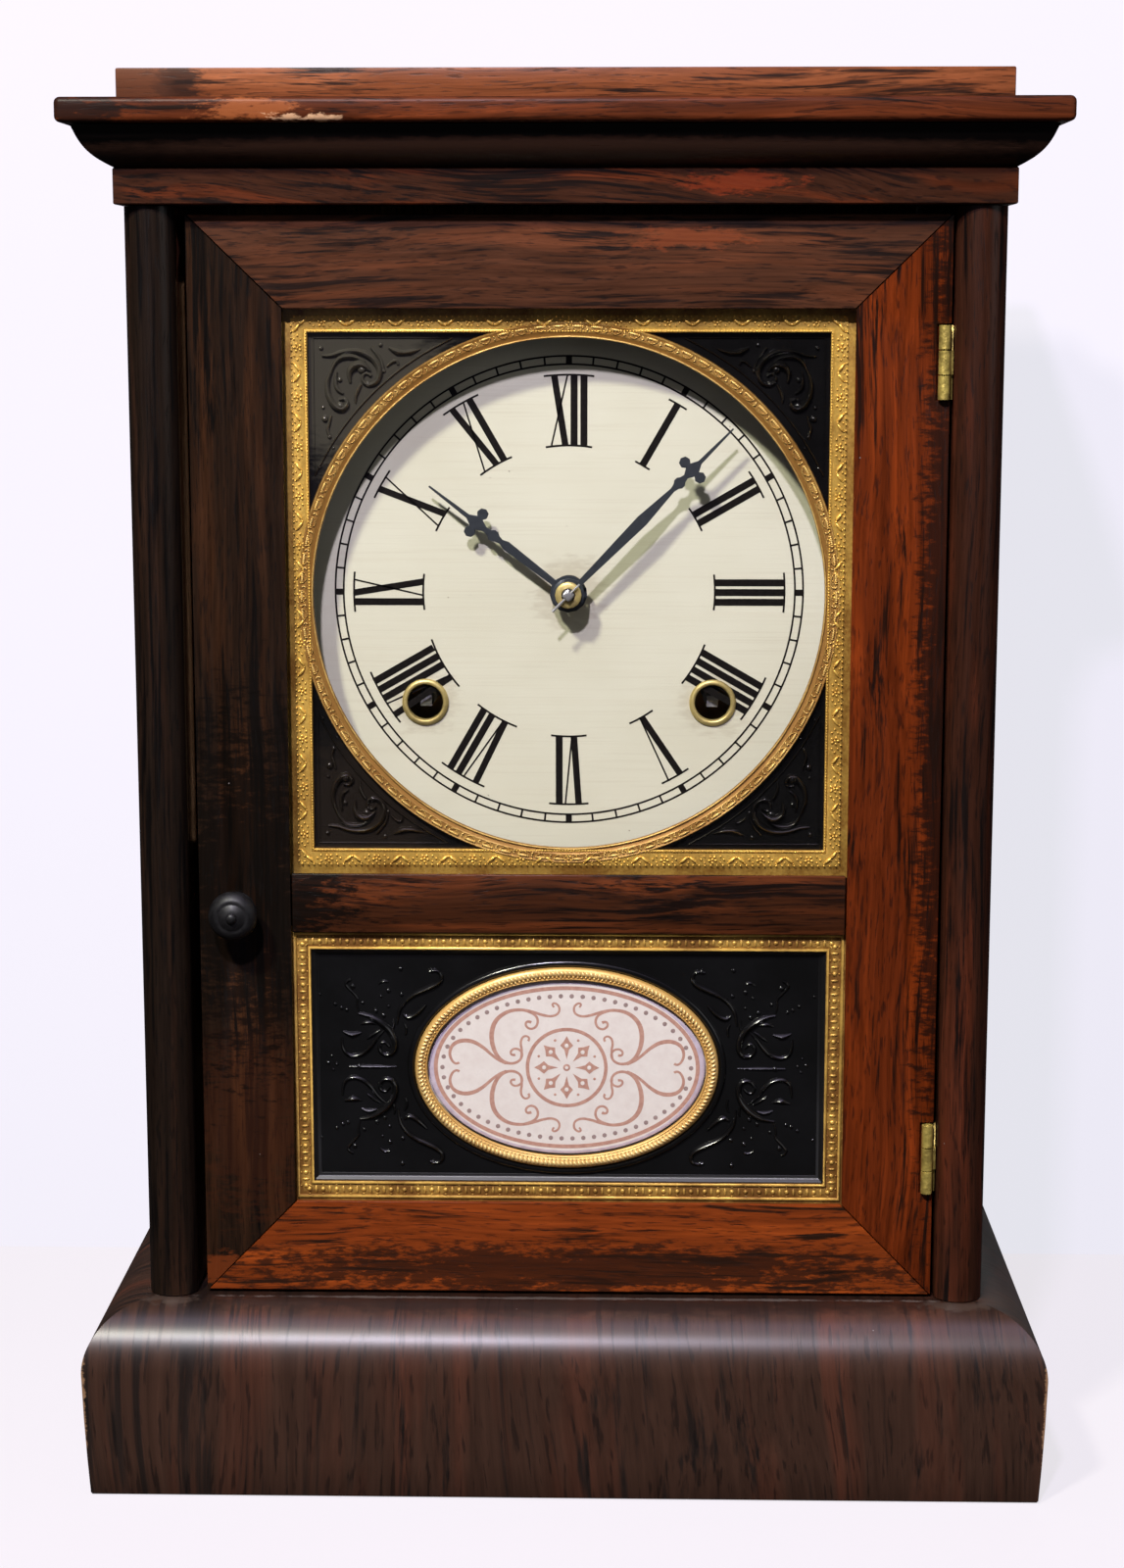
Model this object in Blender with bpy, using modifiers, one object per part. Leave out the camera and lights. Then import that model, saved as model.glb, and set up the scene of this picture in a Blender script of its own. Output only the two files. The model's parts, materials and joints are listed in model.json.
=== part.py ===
"""Cottage clock: a veneered rosewood case with a hinged glazed door and an eight-day striking movement.

The front faces -Y, the sides are at -X and +X, and the origin is on the bench, under the middle of the case.
Depths that start from the case front are turned into world places by depth().
"""
import math

import bmesh
import bpy
from mathutils import Matrix, Vector

MM = 0.001

# Clearances
SEAT = 0.3 * MM
RUNNING = 0.35 * MM
MITRE_STEP = SEAT * math.sqrt(2)

# Sides of the round outlines
RING_SIDES = 64
OVAL_SIDES = 40
PIVOT_SIDES = 12

# Case
CASE_WIDTH = 213.4 * MM
CASE_DEPTH = 108.0 * MM
SIDE_THICKNESS = 12.1 * MM
BACK_THICKNESS = 8.3 * MM
FLOOR_THICKNESS = 9.0 * MM
EASED_EDGE = 0.5 * MM

# Base moulding
BASE_HEIGHT = 48.0 * MM
BASE_PROJECTION = 14.95 * MM
BASE_ROUND_HEIGHT = 15.3 * MM
BASE_FOOT_TAPER = 1.4 * MM
BASE_STOCK = 29.6 * MM

# Columns
COLUMN_RISE = 4.2 * MM
COLUMN_DEPTH = 6.2 * MM

# Cornice
FRIEZE_ABOVE_DOOR = 2.2 * MM
FRIEZE_HEIGHT = 8.5 * MM
FRIEZE_PROJECTION = 1.55 * MM
QUIRK_HEIGHT = 1.0 * MM
QUIRK_DEPTH = 1.2 * MM
OVOLO_HEIGHT = 8.8 * MM
OVOLO_PROJECTION = 9.9 * MM
OVOLO_SAG = 1.5 * MM
SLAB_THICKNESS = 5.9 * MM
SLAB_PROJECTION = 13.2 * MM
TOP_BLOCK_HEIGHT = 7.2 * MM
TOP_BLOCK_PROJECTION = 0.5 * MM

# Door
DOOR_GAP_LEFT = 2.65 * MM
DOOR_GAP_RIGHT = 0.85 * MM
DOOR_GAP_BOTTOM = 0.9 * MM
DOOR_THICKNESS = 13.5 * MM
DOOR_SETBACK = 3.8 * MM
STILE_WIDTH = 23.05 * MM
TOP_RAIL_HEIGHT = 22.5 * MM
MIDDLE_RAIL_HEIGHT = 15.1 * MM
BOTTOM_RAIL_HEIGHT = 23.8 * MM
UPPER_OPENING_EXTRA = 0.4 * MM
LOWER_OPENING_HEIGHT = 70.3 * MM
LIP_THICKNESS = 1.2 * MM
LIP_WIDTH = 1.5 * MM

# Door fillings
GLASS_THICKNESS = 1.7 * MM
SASH_THICKNESS = 1.9 * MM
UPPER_SASH_MARGIN = 5.7 * MM
LOWER_SASH_MARGIN = 4.7 * MM
RING_MARGIN = 2.4 * MM
RING_WIDTH = 3.9 * MM
RING_DROP = 0.4 * MM
SPANDREL_THICKNESS = 0.7 * MM
PANEL_THICKNESS = 1.0 * MM
OVAL_DROP = 0.5 * MM
OVAL_SHIFT = -0.4 * MM
OVAL_OUTER_X = 38.7 * MM
OVAL_OUTER_Z = 26.3 * MM
OVAL_RING_WIDTH = 3.2 * MM
TABLET_OVERLAP = 1.6 * MM
TABLET_THICKNESS = 2.0 * MM

# Knob and latch
KNOB_FROM_DOOR_EDGE = 9.4 * MM
KNOB_DROP = 1.8 * MM
KNOB_RADIUS = 6.15 * MM
KNOB_LENGTH = 11.6 * MM
KNOB_SHAFT_RADIUS = 1.9 * MM
TONGUE_REACH = 13.5 * MM
TONGUE_WIDTH = 5.0 * MM
TONGUE_THICKNESS = 1.3 * MM

# Hinges
HINGE_BARREL_RADIUS = 1.45 * MM
HINGE_FROM_DOOR_EDGE = 1.65 * MM
HINGE_PROUD = 0.8 * MM
HINGE_HEIGHT = 17.9 * MM
HINGE_LEAF_DEPTH = 9.0 * MM
HINGE_LEAF_THICKNESS = 0.5 * MM
HINGE_PIN_RADIUS = 0.6 * MM
HINGE_UPPER_FROM_TOP = 26.4 * MM
HINGE_LOWER_FROM_BOTTOM = 27.3 * MM

# Dial
DIAL_CENTRE_X = 0.8 * MM
DIAL_RISE = 0.1 * MM
DIAL_SETBACK = 18.0 * MM
DIAL_THICKNESS = 1.0 * MM
DIAL_PAST_RING_X = 8.6 * MM
DIAL_PAST_RING_Z = 9.6 * MM
DIAL_CENTRE_HOLE = 4.35 * MM
WINDING_SPACING = 72.7 * MM
WINDING_DROP = 27.95 * MM
GROMMET_BORE = 4.5 * MM
GROMMET_TUBE = 0.5 * MM
GROMMET_FLANGE = 5.9 * MM
CLEAT_WIDTH = 22.0 * MM
CLEAT_DEPTH = 12.0 * MM
CLEAT_BOTTOM_RISE = 13.0 * MM

# Movement frame
FRONT_PLATE_SETBACK = 42.0 * MM
PLATE_THICKNESS = 1.6 * MM
PLATE_SPACING = 30.4 * MM
PLATE_WIDTH = 112.0 * MM
PLATE_ABOVE_CENTRE = 68.0 * MM
PLATE_BELOW_CENTRE = 58.0 * MM
PLATE_CORNER_CUT = 10.0 * MM
PILLAR_RADIUS = 2.8 * MM
PILLAR_INSET = 6.5 * MM
LOW_PILLAR_OFFSET = 20.0 * MM
PIVOT_RADIUS = 0.8 * MM
BLOCK_WIDTH = 54.0 * MM
BLOCK_HEIGHT = 84.0 * MM
BLOCK_OFFSET_X = 14.0 * MM

# Trains: teeth, and tooth modules in metres a tooth
GREAT_TEETH = 60
GREAT_MODULE = 0.76 * MM
SECOND_TEETH = 48
SECOND_PINION_TEETH = 10
SECOND_MODULE = 0.66 * MM
CENTRE_PINION_TEETH = 12
STRIKE_PIN_TEETH = 48
STRIKE_PIN_ANGLE = 78.0
CANNON_TEETH = 12
MINUTE_WHEEL_TEETH = 36
MINUTE_PINION_TEETH = 10
HOUR_TEETH = 40
MOTION_DISTANCE = 12.6 * MM
MOTION_ANGLE = -62.0
ESCAPE_TEETH = 36
ESCAPE_RADIUS = 11.5 * MM
TOOTH_ADDENDUM = 0.62
TOOTH_DEDENDUM = 1.25
WHEEL_THICKNESS = 1.4 * MM
PINION_LENGTH = 3.6 * MM
ARBOR_RADIUS = 1.3 * MM
HUB_RADIUS = 2.4 * MM
WINDING_ARBOR_RADIUS = 2.2 * MM
WINDING_SQUARE = 2.9 * MM
WINDING_ARBOR_TIP = 21.0 * MM
RATCHET_RADIUS = 8.5 * MM
RATCHET_TEETH = 14
STRIKE_PIN_RADIUS = 0.6 * MM
STRIKE_PIN_COUNT = 4

# Hands
MINUTE_TIP_GAP = 5.7 * MM
MINUTE_CROSS_FROM_TIP = 14.2 * MM
MINUTE_BULGE_FROM_TIP = 18.7 * MM
MINUTE_BLADE = 2.7 * MM
MINUTE_ANGLE = 44.7
MINUTE_HAND_SETBACK = 10.8 * MM
HOUR_SHORTER = 14.0 * MM
HOUR_CROSS_FROM_TIP = 14.75 * MM
HOUR_BULGE_FROM_TIP = 20.1 * MM
HOUR_BLADE = 2.0 * MM
HOUR_ANGLE = -52.4
HOUR_HAND_SETBACK = 13.4 * MM
HAND_THICKNESS = 0.6 * MM
LOBE_OFFSET = 2.65 * MM
LOBE_RADIUS = 1.35 * MM
HAND_BOSS = 4.0 * MM
BUSH_RADIUS = 3.3 * MM
BUSH_LENGTH = 1.3 * MM
CENTRE_ARBOR_RADIUS = 1.45 * MM
CENTRE_ARBOR_TIP = 7.6 * MM
HOUR_PIPE_WALL = 0.7 * MM
TAPER_PIN_RADIUS = 0.4 * MM
TAPER_PIN_LENGTH = 9.6 * MM

# Pendulum, verge and strike
PENDULUM_OFFSET_X = -9.2 * MM
PENDULUM_PIVOT_RISE = 54.0 * MM
PENDULUM_SETBACK = 28.0 * MM
PENDULUM_LENGTH = 165.0 * MM
PENDULUM_ROD_RADIUS = 0.7 * MM
SUSPENSION_LENGTH = 7.0 * MM
SUSPENSION_WIDTH = 2.4 * MM
BOB_RADIUS = 16.5 * MM
BOB_THICKNESS = 8.0 * MM
ESCAPE_DROP = 19.0 * MM
CRUTCH_LENGTH = 30.0 * MM
HAMMER_OFFSET_X = -13.0 * MM
HAMMER_DROP = 46.0 * MM
HAMMER_BEFORE_GONG = 2.0 * MM
HAMMER_ROD_RADIUS = 0.9 * MM
HAMMER_HEAD_RADIUS = 3.6 * MM
HAMMER_HEAD_LENGTH = 9.0 * MM
GONG_CENTRE_X = 6.0 * MM
GONG_CENTRE_Z = 100.0 * MM
GONG_OUTER_RADIUS = 34.0 * MM
GONG_PITCH = 6.6 * MM
GONG_TURNS = 3
GONG_WIRE_RADIUS = 1.1 * MM
GONG_BLOCK_RADIUS = 8.0 * MM
GONG_FROM_BACK = 9.7 * MM
HAMMER_GAP = 1.2 * MM

# Worked-out places
CASE_FRONT_Y = (BASE_PROJECTION - CASE_DEPTH) / 2
HALF_CASE = CASE_WIDTH / 2
INNER_HALF = HALF_CASE - SIDE_THICKNESS
BACK_SETBACK = CASE_DEPTH - BACK_THICKNESS
CORNICE_HEIGHT = FRIEZE_HEIGHT + QUIRK_HEIGHT + OVOLO_HEIGHT
DOOR_LEFT = DOOR_GAP_LEFT - INNER_HALF
DOOR_RIGHT = INNER_HALF - DOOR_GAP_RIGHT
DOOR_CENTRE_X = (DOOR_LEFT + DOOR_RIGHT) / 2
DOOR_BOTTOM = BASE_HEIGHT + DOOR_GAP_BOTTOM
OPENING_LEFT = DOOR_LEFT + STILE_WIDTH
OPENING_RIGHT = DOOR_RIGHT - STILE_WIDTH
LOWER_BOTTOM = DOOR_BOTTOM + BOTTOM_RAIL_HEIGHT
LOWER_TOP = LOWER_BOTTOM + LOWER_OPENING_HEIGHT
UPPER_BOTTOM = LOWER_TOP + MIDDLE_RAIL_HEIGHT
UPPER_TOP = UPPER_BOTTOM + OPENING_RIGHT - OPENING_LEFT + UPPER_OPENING_EXTRA
DOOR_TOP = UPPER_TOP + TOP_RAIL_HEIGHT
FRIEZE_BOTTOM = DOOR_TOP + FRIEZE_ABOVE_DOOR
SLAB_BOTTOM = FRIEZE_BOTTOM + CORNICE_HEIGHT + SEAT
BLOCK_BOTTOM = SLAB_BOTTOM + SLAB_THICKNESS + SEAT
REBATE_SETBACK = DOOR_SETBACK + LIP_THICKNESS
RING_CENTRE_Z = (UPPER_BOTTOM + UPPER_TOP) / 2 - RING_DROP
RING_OUTER_RADIUS = (OPENING_RIGHT - OPENING_LEFT) / 2 - RING_MARGIN
RING_INNER_RADIUS = RING_OUTER_RADIUS - RING_WIDTH
DIAL_CENTRE_Z = RING_CENTRE_Z + DIAL_RISE
DIAL_WIDTH = 2 * (RING_OUTER_RADIUS + DIAL_PAST_RING_X)
DIAL_HEIGHT = 2 * (RING_OUTER_RADIUS + DIAL_PAST_RING_Z)
MINUTE_LENGTH = RING_INNER_RADIUS - MINUTE_TIP_GAP
MINUTE_CROSS = MINUTE_LENGTH - MINUTE_CROSS_FROM_TIP
MINUTE_BULGE = MINUTE_LENGTH - MINUTE_BULGE_FROM_TIP
HOUR_LENGTH = MINUTE_LENGTH - HOUR_SHORTER
HOUR_CROSS = HOUR_LENGTH - HOUR_CROSS_FROM_TIP
HOUR_BULGE = HOUR_LENGTH - HOUR_BULGE_FROM_TIP
OVAL_CENTRE = (DOOR_CENTRE_X + OVAL_SHIFT, (LOWER_BOTTOM + LOWER_TOP) / 2 - OVAL_DROP)
KNOB_X = DOOR_LEFT + KNOB_FROM_DOOR_EDGE
KNOB_Z = (LOWER_TOP + UPPER_BOTTOM) / 2 - KNOB_DROP
HINGE_X = DOOR_RIGHT - HINGE_FROM_DOOR_EDGE
HINGE_SETBACK = DOOR_SETBACK - HINGE_PROUD
HINGE_UPPER_Z = DOOR_TOP - HINGE_UPPER_FROM_TOP - HINGE_HEIGHT
HINGE_LOWER_Z = DOOR_BOTTOM + HINGE_LOWER_FROM_BOTTOM
WINDING_Z = DIAL_CENTRE_Z - WINDING_DROP
BACK_PLATE_SETBACK = FRONT_PLATE_SETBACK + PLATE_THICKNESS + PLATE_SPACING
GREAT_RADIUS = GREAT_MODULE * GREAT_TEETH / 2
GREAT_DISTANCE = GREAT_MODULE * (GREAT_TEETH + SECOND_PINION_TEETH) / 2
SECOND_DISTANCE = SECOND_MODULE * (SECOND_TEETH + CENTRE_PINION_TEETH) / 2
CANNON_MODULE = 2 * MOTION_DISTANCE / (CANNON_TEETH + MINUTE_WHEEL_TEETH)
HOUR_MODULE = 2 * MOTION_DISTANCE / (MINUTE_PINION_TEETH + HOUR_TEETH)
HOUR_PIPE_BORE = CENTRE_ARBOR_RADIUS + RUNNING
HOUR_PIPE_RADIUS = HOUR_PIPE_BORE + HOUR_PIPE_WALL
PENDULUM_X = DIAL_CENTRE_X + PENDULUM_OFFSET_X
PENDULUM_PIVOT_Z = DIAL_CENTRE_Z + PENDULUM_PIVOT_RISE
ESCAPE_Z = PENDULUM_PIVOT_Z - ESCAPE_DROP
HAMMER_X = DIAL_CENTRE_X + HAMMER_OFFSET_X
HAMMER_Z = DIAL_CENTRE_Z - HAMMER_DROP
GONG_SETBACK = BACK_SETBACK - GONG_FROM_BACK
HAMMER_SETBACK = GONG_SETBACK - HAMMER_BEFORE_GONG
GREAT_LAYER = BACK_PLATE_SETBACK - 6.6 * MM
SECOND_LAYER = FRONT_PLATE_SETBACK + 12.0 * MM
ESCAPE_LAYER = FRONT_PLATE_SETBACK + 6.0 * MM
CANNON_LAYER = FRONT_PLATE_SETBACK - 2.6 * MM
HOUR_LAYER = FRONT_PLATE_SETBACK - 6.6 * MM


def depth(setback):
    """World Y of a plane that lies this far behind the case front."""
    return CASE_FRONT_Y + setback


def circle_crossing(first, second, first_radius, second_radius):
    """The upper point that lies at the two radii from two centres, each an (x, z) pair."""
    gap = math.dist(first, second)
    along = (gap ** 2 + first_radius ** 2 - second_radius ** 2) / (2 * gap)
    aside = math.sqrt(max(first_radius ** 2 - along ** 2, 0.0))
    run_x = (second[0] - first[0]) / gap
    run_z = (second[1] - first[1]) / gap
    sign = 1.0 if run_x < 0 else -1.0
    return (first[0] + run_x * along + sign * run_z * aside, first[1] + run_z * along - sign * run_x * aside)


def start_scene():
    """Empties the scene and makes the collections for the clock and for its cutters."""
    for item in list(bpy.data.objects):
        bpy.data.objects.remove(item, do_unlink=True)
    made = []
    for label in ("cottage_clock", "cutters"):
        group = bpy.data.collections.new(label)
        bpy.context.scene.collection.children.link(group)
        made.append(group)
    return made


PARTS, CUTTERS = start_scene()


def finish_material(name, colour, roughness, metallic=0.0):
    """A Principled material with one colour, roughness and metallic value."""
    made = bpy.data.materials.new(name)
    made.use_nodes = True
    shader = made.node_tree.nodes["Principled BSDF"]
    shader.inputs["Base Color"].default_value = (*colour, 1.0)
    shader.inputs["Roughness"].default_value = roughness
    shader.inputs["Metallic"].default_value = metallic
    made.diffuse_color = (*colour, 1.0)
    return made


ROSEWOOD = finish_material("rosewood", (0.12, 0.035, 0.015), 0.35)
DARK_WOOD = finish_material("dark_rosewood", (0.035, 0.014, 0.008), 0.35)
PINE = finish_material("pine", (0.42, 0.26, 0.13), 0.75)
GILT = finish_material("gilt", (0.62, 0.38, 0.06), 0.35, 1.0)
BLACK = finish_material("black_lacquer", (0.012, 0.012, 0.014), 0.35)
CREAM = finish_material("dial_paint", (0.72, 0.68, 0.55), 0.5)
TABLET = finish_material("tablet", (0.72, 0.62, 0.64), 0.3)
GLASS = finish_material("glass", (0.85, 0.92, 0.88), 0.05)
BRASS = finish_material("brass", (0.55, 0.38, 0.12), 0.35, 1.0)
STEEL = finish_material("steel", (0.35, 0.35, 0.36), 0.3, 1.0)
BLUED = finish_material("blued_steel", (0.02, 0.022, 0.03), 0.35, 1.0)
EBONISED = finish_material("ebonised", (0.012, 0.011, 0.011), 0.6)
IRON = finish_material("cast_iron", (0.04, 0.04, 0.042), 0.7, 1.0)


def place(name, mesh, finish, world=None, cutter=False):
    """Puts a mesh in the scene as a named object, or as a hidden cutter."""
    item = bpy.data.objects.new(name, mesh)
    if world is not None:
        item.matrix_world = world
    if cutter:
        CUTTERS.objects.link(item)
        item.hide_render = True
        item.display_type = "WIRE"
    else:
        PARTS.objects.link(item)
        mesh.materials.clear()
        mesh.materials.append(finish)
    return item


def smooth(item, degrees=35.0):
    """Shades a round piece smooth, with its sharp edges kept."""
    item.data.shade_smooth()
    item.data.set_sharp_from_angle(angle=math.radians(degrees))


def ease_edges(item, width=EASED_EDGE, segments=1):
    """Takes the sharpness off a board's edges."""
    bevel = item.modifiers.new("eased_edges", "BEVEL")
    bevel.width = width
    bevel.segments = segments
    bevel.limit_method = "ANGLE"
    bevel.angle_limit = math.radians(40.0)


def box(name, x_range, y_range, z_range, finish=None, eased=0.0, cutter=False):
    """A board or a box cutter between two values along each axis."""
    build = bmesh.new()
    bmesh.ops.create_cube(build, size=1.0)
    sizes = [high - low for low, high in (x_range, y_range, z_range)]
    centre = [(high + low) / 2 for low, high in (x_range, y_range, z_range)]
    bmesh.ops.scale(build, vec=sizes, verts=build.verts)
    mesh = bpy.data.meshes.new(name)
    build.to_mesh(mesh)
    build.free()
    item = place(name, mesh, finish, Matrix.Translation(centre), cutter)
    if eased:
        ease_edges(item, eased)
    return item


def bar(name, radii, length, world, finish=None, sides=16, cutter=False):
    """A round bar along local Z, given its radius at the foot and at the top."""
    build = bmesh.new()
    low, high = radii
    bmesh.ops.create_cone(build, cap_ends=True, segments=sides, radius1=low, radius2=high, depth=length)
    mesh = bpy.data.meshes.new(name)
    build.to_mesh(mesh)
    build.free()
    item = place(name, mesh, finish, world, cutter)
    smooth(item)
    return item


def rod(name, centre, radius, y_range, sides=16):
    """A helper bar along Y, at an (x, z) centre."""
    world = facing_y(centre, sum(y_range) / 2)
    return bar(name, (radius, radius), y_range[1] - y_range[0], world, sides=sides, cutter=True)


def post(name, centre, radius, z_range, finish=None, sides=16, cutter=True):
    """A round bar along Z, at an (x, y) centre."""
    world = Matrix.Translation((*centre, sum(z_range) / 2))
    return bar(name, (radius, radius), z_range[1] - z_range[0], world, finish, sides, cutter)


def facing_y(centre, y):
    """A place at an (x, z) centre whose local +Z points to the front of the clock."""
    return Matrix.Translation((centre[0], y, centre[1])) @ Matrix.Rotation(math.pi / 2, 4, "X")


def rectangle(x_range, z_range):
    """The four corners of a flat rectangle."""
    left, right = x_range
    low, high = z_range
    return [(left, low), (right, low), (right, high), (left, high)]


def ellipse(centre, radius_x, radius_z, points):
    """Points round an ellipse, or round a circle where both radii are alike."""
    turn = [2 * math.pi * (step + 0.5) / points for step in range(points)]
    return [(centre[0] + radius_x * math.cos(a), centre[1] + radius_z * math.sin(a)) for a in turn]


def circle(centre, radius, points=16):
    """Points round a circle."""
    return ellipse(centre, radius, radius, points)


def outline_mesh(name, outlines, thickness):
    """A mesh made of flat outlines in XY, filled, with any inner outline left open."""
    curve = bpy.data.curves.new(name, "CURVE")
    curve.dimensions = "2D"
    curve.fill_mode = "BOTH"
    curve.extrude = thickness / 2
    for outline in outlines:
        spline = curve.splines.new("POLY")
        spline.points.add(len(outline) - 1)
        for point, (x, y) in zip(spline.points, outline):
            point.co = (x, y, 0.0, 1.0)
        spline.use_cyclic_u = True
    item = bpy.data.objects.new(name, curve)
    bpy.context.scene.collection.objects.link(item)
    graph = bpy.context.evaluated_depsgraph_get()
    mesh = bpy.data.meshes.new_from_object(item.evaluated_get(graph))
    mesh.name = name
    bpy.data.objects.remove(item)
    build = bmesh.new()
    build.from_mesh(mesh)
    bmesh.ops.remove_doubles(build, verts=build.verts, dist=0.001 * MM)
    bmesh.ops.recalc_face_normals(build, faces=build.faces)
    build.to_mesh(mesh)
    build.free()
    return mesh


def flat_piece(name, outlines, y_range, finish=None, cutter=False):
    """A sheet cut to outlines given as (x, z), standing between two depths along Y."""
    mesh = outline_mesh(name, outlines, y_range[1] - y_range[0])
    world = Matrix.Translation((0.0, sum(y_range) / 2, 0.0)) @ Matrix.Rotation(math.pi / 2, 4, "X")
    return place(name, mesh, finish, world, cutter)


def turned(name, profile, world, finish, steps=24, closed=False, cutter=False):
    """A turned piece: (radius, height) pairs run down its outer side and are spun round local Z."""
    mesh = bpy.data.meshes.new(name)
    points = [(radius, 0.0, height) for radius, height in profile]
    edges = [(index, index + 1) for index in range(len(points) - 1)]
    if closed:
        edges.append((len(points) - 1, 0))
    mesh.from_pydata(points, edges, [])
    item = place(name, mesh, finish, world, cutter)
    screw = item.modifiers.new("turn", "SCREW")
    screw.axis = "Z"
    screw.angle = 2 * math.pi
    screw.steps = steps
    screw.render_steps = steps
    screw.use_merge_vertices = True
    screw.merge_threshold = 0.00001
    screw.use_smooth_shade = True
    return item


def cut(item, cutter):
    """Takes a cutter's shape out of a piece."""
    step = item.modifiers.new("cut_" + cutter.name, "BOOLEAN")
    step.operation = "DIFFERENCE"
    step.solver = "EXACT"
    step.object = cutter


def join(item, other):
    """Fuses a helper shape to a piece."""
    step = item.modifiers.new("join_" + other.name, "BOOLEAN")
    step.operation = "UNION"
    step.solver = "EXACT"
    step.object = other


def moulding(name, profile, start, run, out, up, length, mitres, finish):
    """A length of moulding. The profile is (out, up) pairs, and each mitre is its slope along the run."""
    build = bmesh.new()
    verts = []
    for outward, upward in profile:
        point = start + out * outward + up * upward - run * (outward * mitres[0])
        verts.append(build.verts.new(point))
    end = build.faces.new(verts)
    grown = bmesh.ops.extrude_face_region(build, geom=[end])
    for vert in [piece for piece in grown["geom"] if isinstance(piece, bmesh.types.BMVert)]:
        outward = (vert.co - start).dot(out)
        vert.co += run * (length + outward * (mitres[0] + mitres[1]))
    bmesh.ops.recalc_face_normals(build, faces=build.faces)
    mesh = bpy.data.meshes.new(name)
    build.to_mesh(mesh)
    build.free()
    item = place(name, mesh, finish)
    smooth(item)
    return item


X_AXIS = Vector((1.0, 0.0, 0.0))
Y_AXIS = Vector((0.0, 1.0, 0.0))
Z_AXIS = Vector((0.0, 0.0, 1.0))


def base_profile():
    """The cushion moulding of the base, from its inner foot round to its inner top edge."""
    widest = BASE_HEIGHT - BASE_ROUND_HEIGHT
    inner = BASE_PROJECTION - BASE_STOCK
    points = [(inner, 0.0), (BASE_PROJECTION - BASE_FOOT_TAPER, 0.0)]
    for step in range(9):
        turn = math.radians(90.0 * step / 8)
        points.append((BASE_PROJECTION * math.cos(turn), widest + BASE_ROUND_HEIGHT * math.sin(turn)))
    points.append((inner, BASE_HEIGHT))
    return points


def cornice_profile():
    """Frieze, shadow quirk and shallow ovolo, from the inner foot outwards."""
    quirk_top = FRIEZE_HEIGHT + QUIRK_HEIGHT
    inset = FRIEZE_PROJECTION - QUIRK_DEPTH
    points = [(-SIDE_THICKNESS, 0.0), (FRIEZE_PROJECTION, 0.0), (FRIEZE_PROJECTION, FRIEZE_HEIGHT)]
    points += [(inset, FRIEZE_HEIGHT), (inset, quirk_top)]
    rise = OVOLO_PROJECTION - FRIEZE_PROJECTION
    chord = math.hypot(rise, OVOLO_HEIGHT)
    for step in range(7):
        share = step / 6
        bow = OVOLO_SAG * 4 * share * (1 - share)
        outward = FRIEZE_PROJECTION + rise * share + bow * OVOLO_HEIGHT / chord
        upward = quirk_top + OVOLO_HEIGHT * share - bow * rise / chord * (1 - share)
        points.append((outward, max(upward, quirk_top)))
    points.append((-SIDE_THICKNESS, CORNICE_HEIGHT))
    return points


def wrap_moulding(label, profile, bottom, finish):
    """A moulding across the front with a mitred return down each side."""
    front_length = CASE_WIDTH - 2 * MITRE_STEP
    side_length = CASE_DEPTH - MITRE_STEP
    start = Vector((-HALF_CASE + MITRE_STEP, CASE_FRONT_Y, bottom))
    moulding(label + "_front", profile, start, X_AXIS, -Y_AXIS, Z_AXIS, front_length, (1.0, 1.0), finish)
    start = Vector((-HALF_CASE, CASE_FRONT_Y + MITRE_STEP, bottom))
    moulding(label + "_left", profile, start, Y_AXIS, -X_AXIS, Z_AXIS, side_length, (1.0, 0.0), finish)
    start = Vector((HALF_CASE, CASE_FRONT_Y + MITRE_STEP, bottom))
    moulding(label + "_right", profile, start, Y_AXIS, X_AXIS, Z_AXIS, side_length, (1.0, 0.0), finish)


def make_case_boards():
    """Floor, sides and back of the carcass."""
    floor_half = HALF_CASE - (BASE_STOCK - BASE_PROJECTION) - SEAT
    floor_front = BASE_STOCK - BASE_PROJECTION + SEAT
    back_front = depth(BACK_SETBACK - SEAT)
    z_range = (BASE_HEIGHT - FLOOR_THICKNESS, BASE_HEIGHT)
    box("floor_board", (-floor_half, floor_half), (depth(floor_front), back_front), z_range, PINE)
    bottom = BASE_HEIGHT + SEAT
    top = FRIEZE_BOTTOM - SEAT
    sides = {}
    for label, sign in (("left", -1), ("right", 1)):
        x_range = tuple(sorted((sign * INNER_HALF, sign * HALF_CASE)))
        y_range = (depth(COLUMN_DEPTH + SEAT), back_front)
        sides[label] = box("side_" + label, x_range, y_range, (bottom, top), ROSEWOOD)
    inner = INNER_HALF - SEAT
    half = [(floor_half, 0.0), (floor_half, bottom), (HALF_CASE, bottom), (HALF_CASE, top), (inner, top)]
    half.append((inner, FRIEZE_BOTTOM + CORNICE_HEIGHT))
    outline = half + [(-x, z) for x, z in reversed(half)]
    flat_piece("back_board", [outline], (depth(BACK_SETBACK), depth(CASE_DEPTH)), PINE)
    return sides


def make_slab_and_block():
    """The cornice slab and the low block on top of it."""
    half = HALF_CASE + SLAB_PROJECTION
    y_range = (depth(-SLAB_PROJECTION), depth(CASE_DEPTH))
    z_range = (SLAB_BOTTOM, SLAB_BOTTOM + SLAB_THICKNESS)
    box("cornice_slab", (-half, half), y_range, z_range, ROSEWOOD, 2 * EASED_EDGE)
    half = HALF_CASE + TOP_BLOCK_PROJECTION
    y_range = (depth(-TOP_BLOCK_PROJECTION), depth(CASE_DEPTH))
    z_range = (BLOCK_BOTTOM, BLOCK_BOTTOM + TOP_BLOCK_HEIGHT)
    box("top_block", (-half, half), y_range, z_range, ROSEWOOD, EASED_EDGE)


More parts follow.
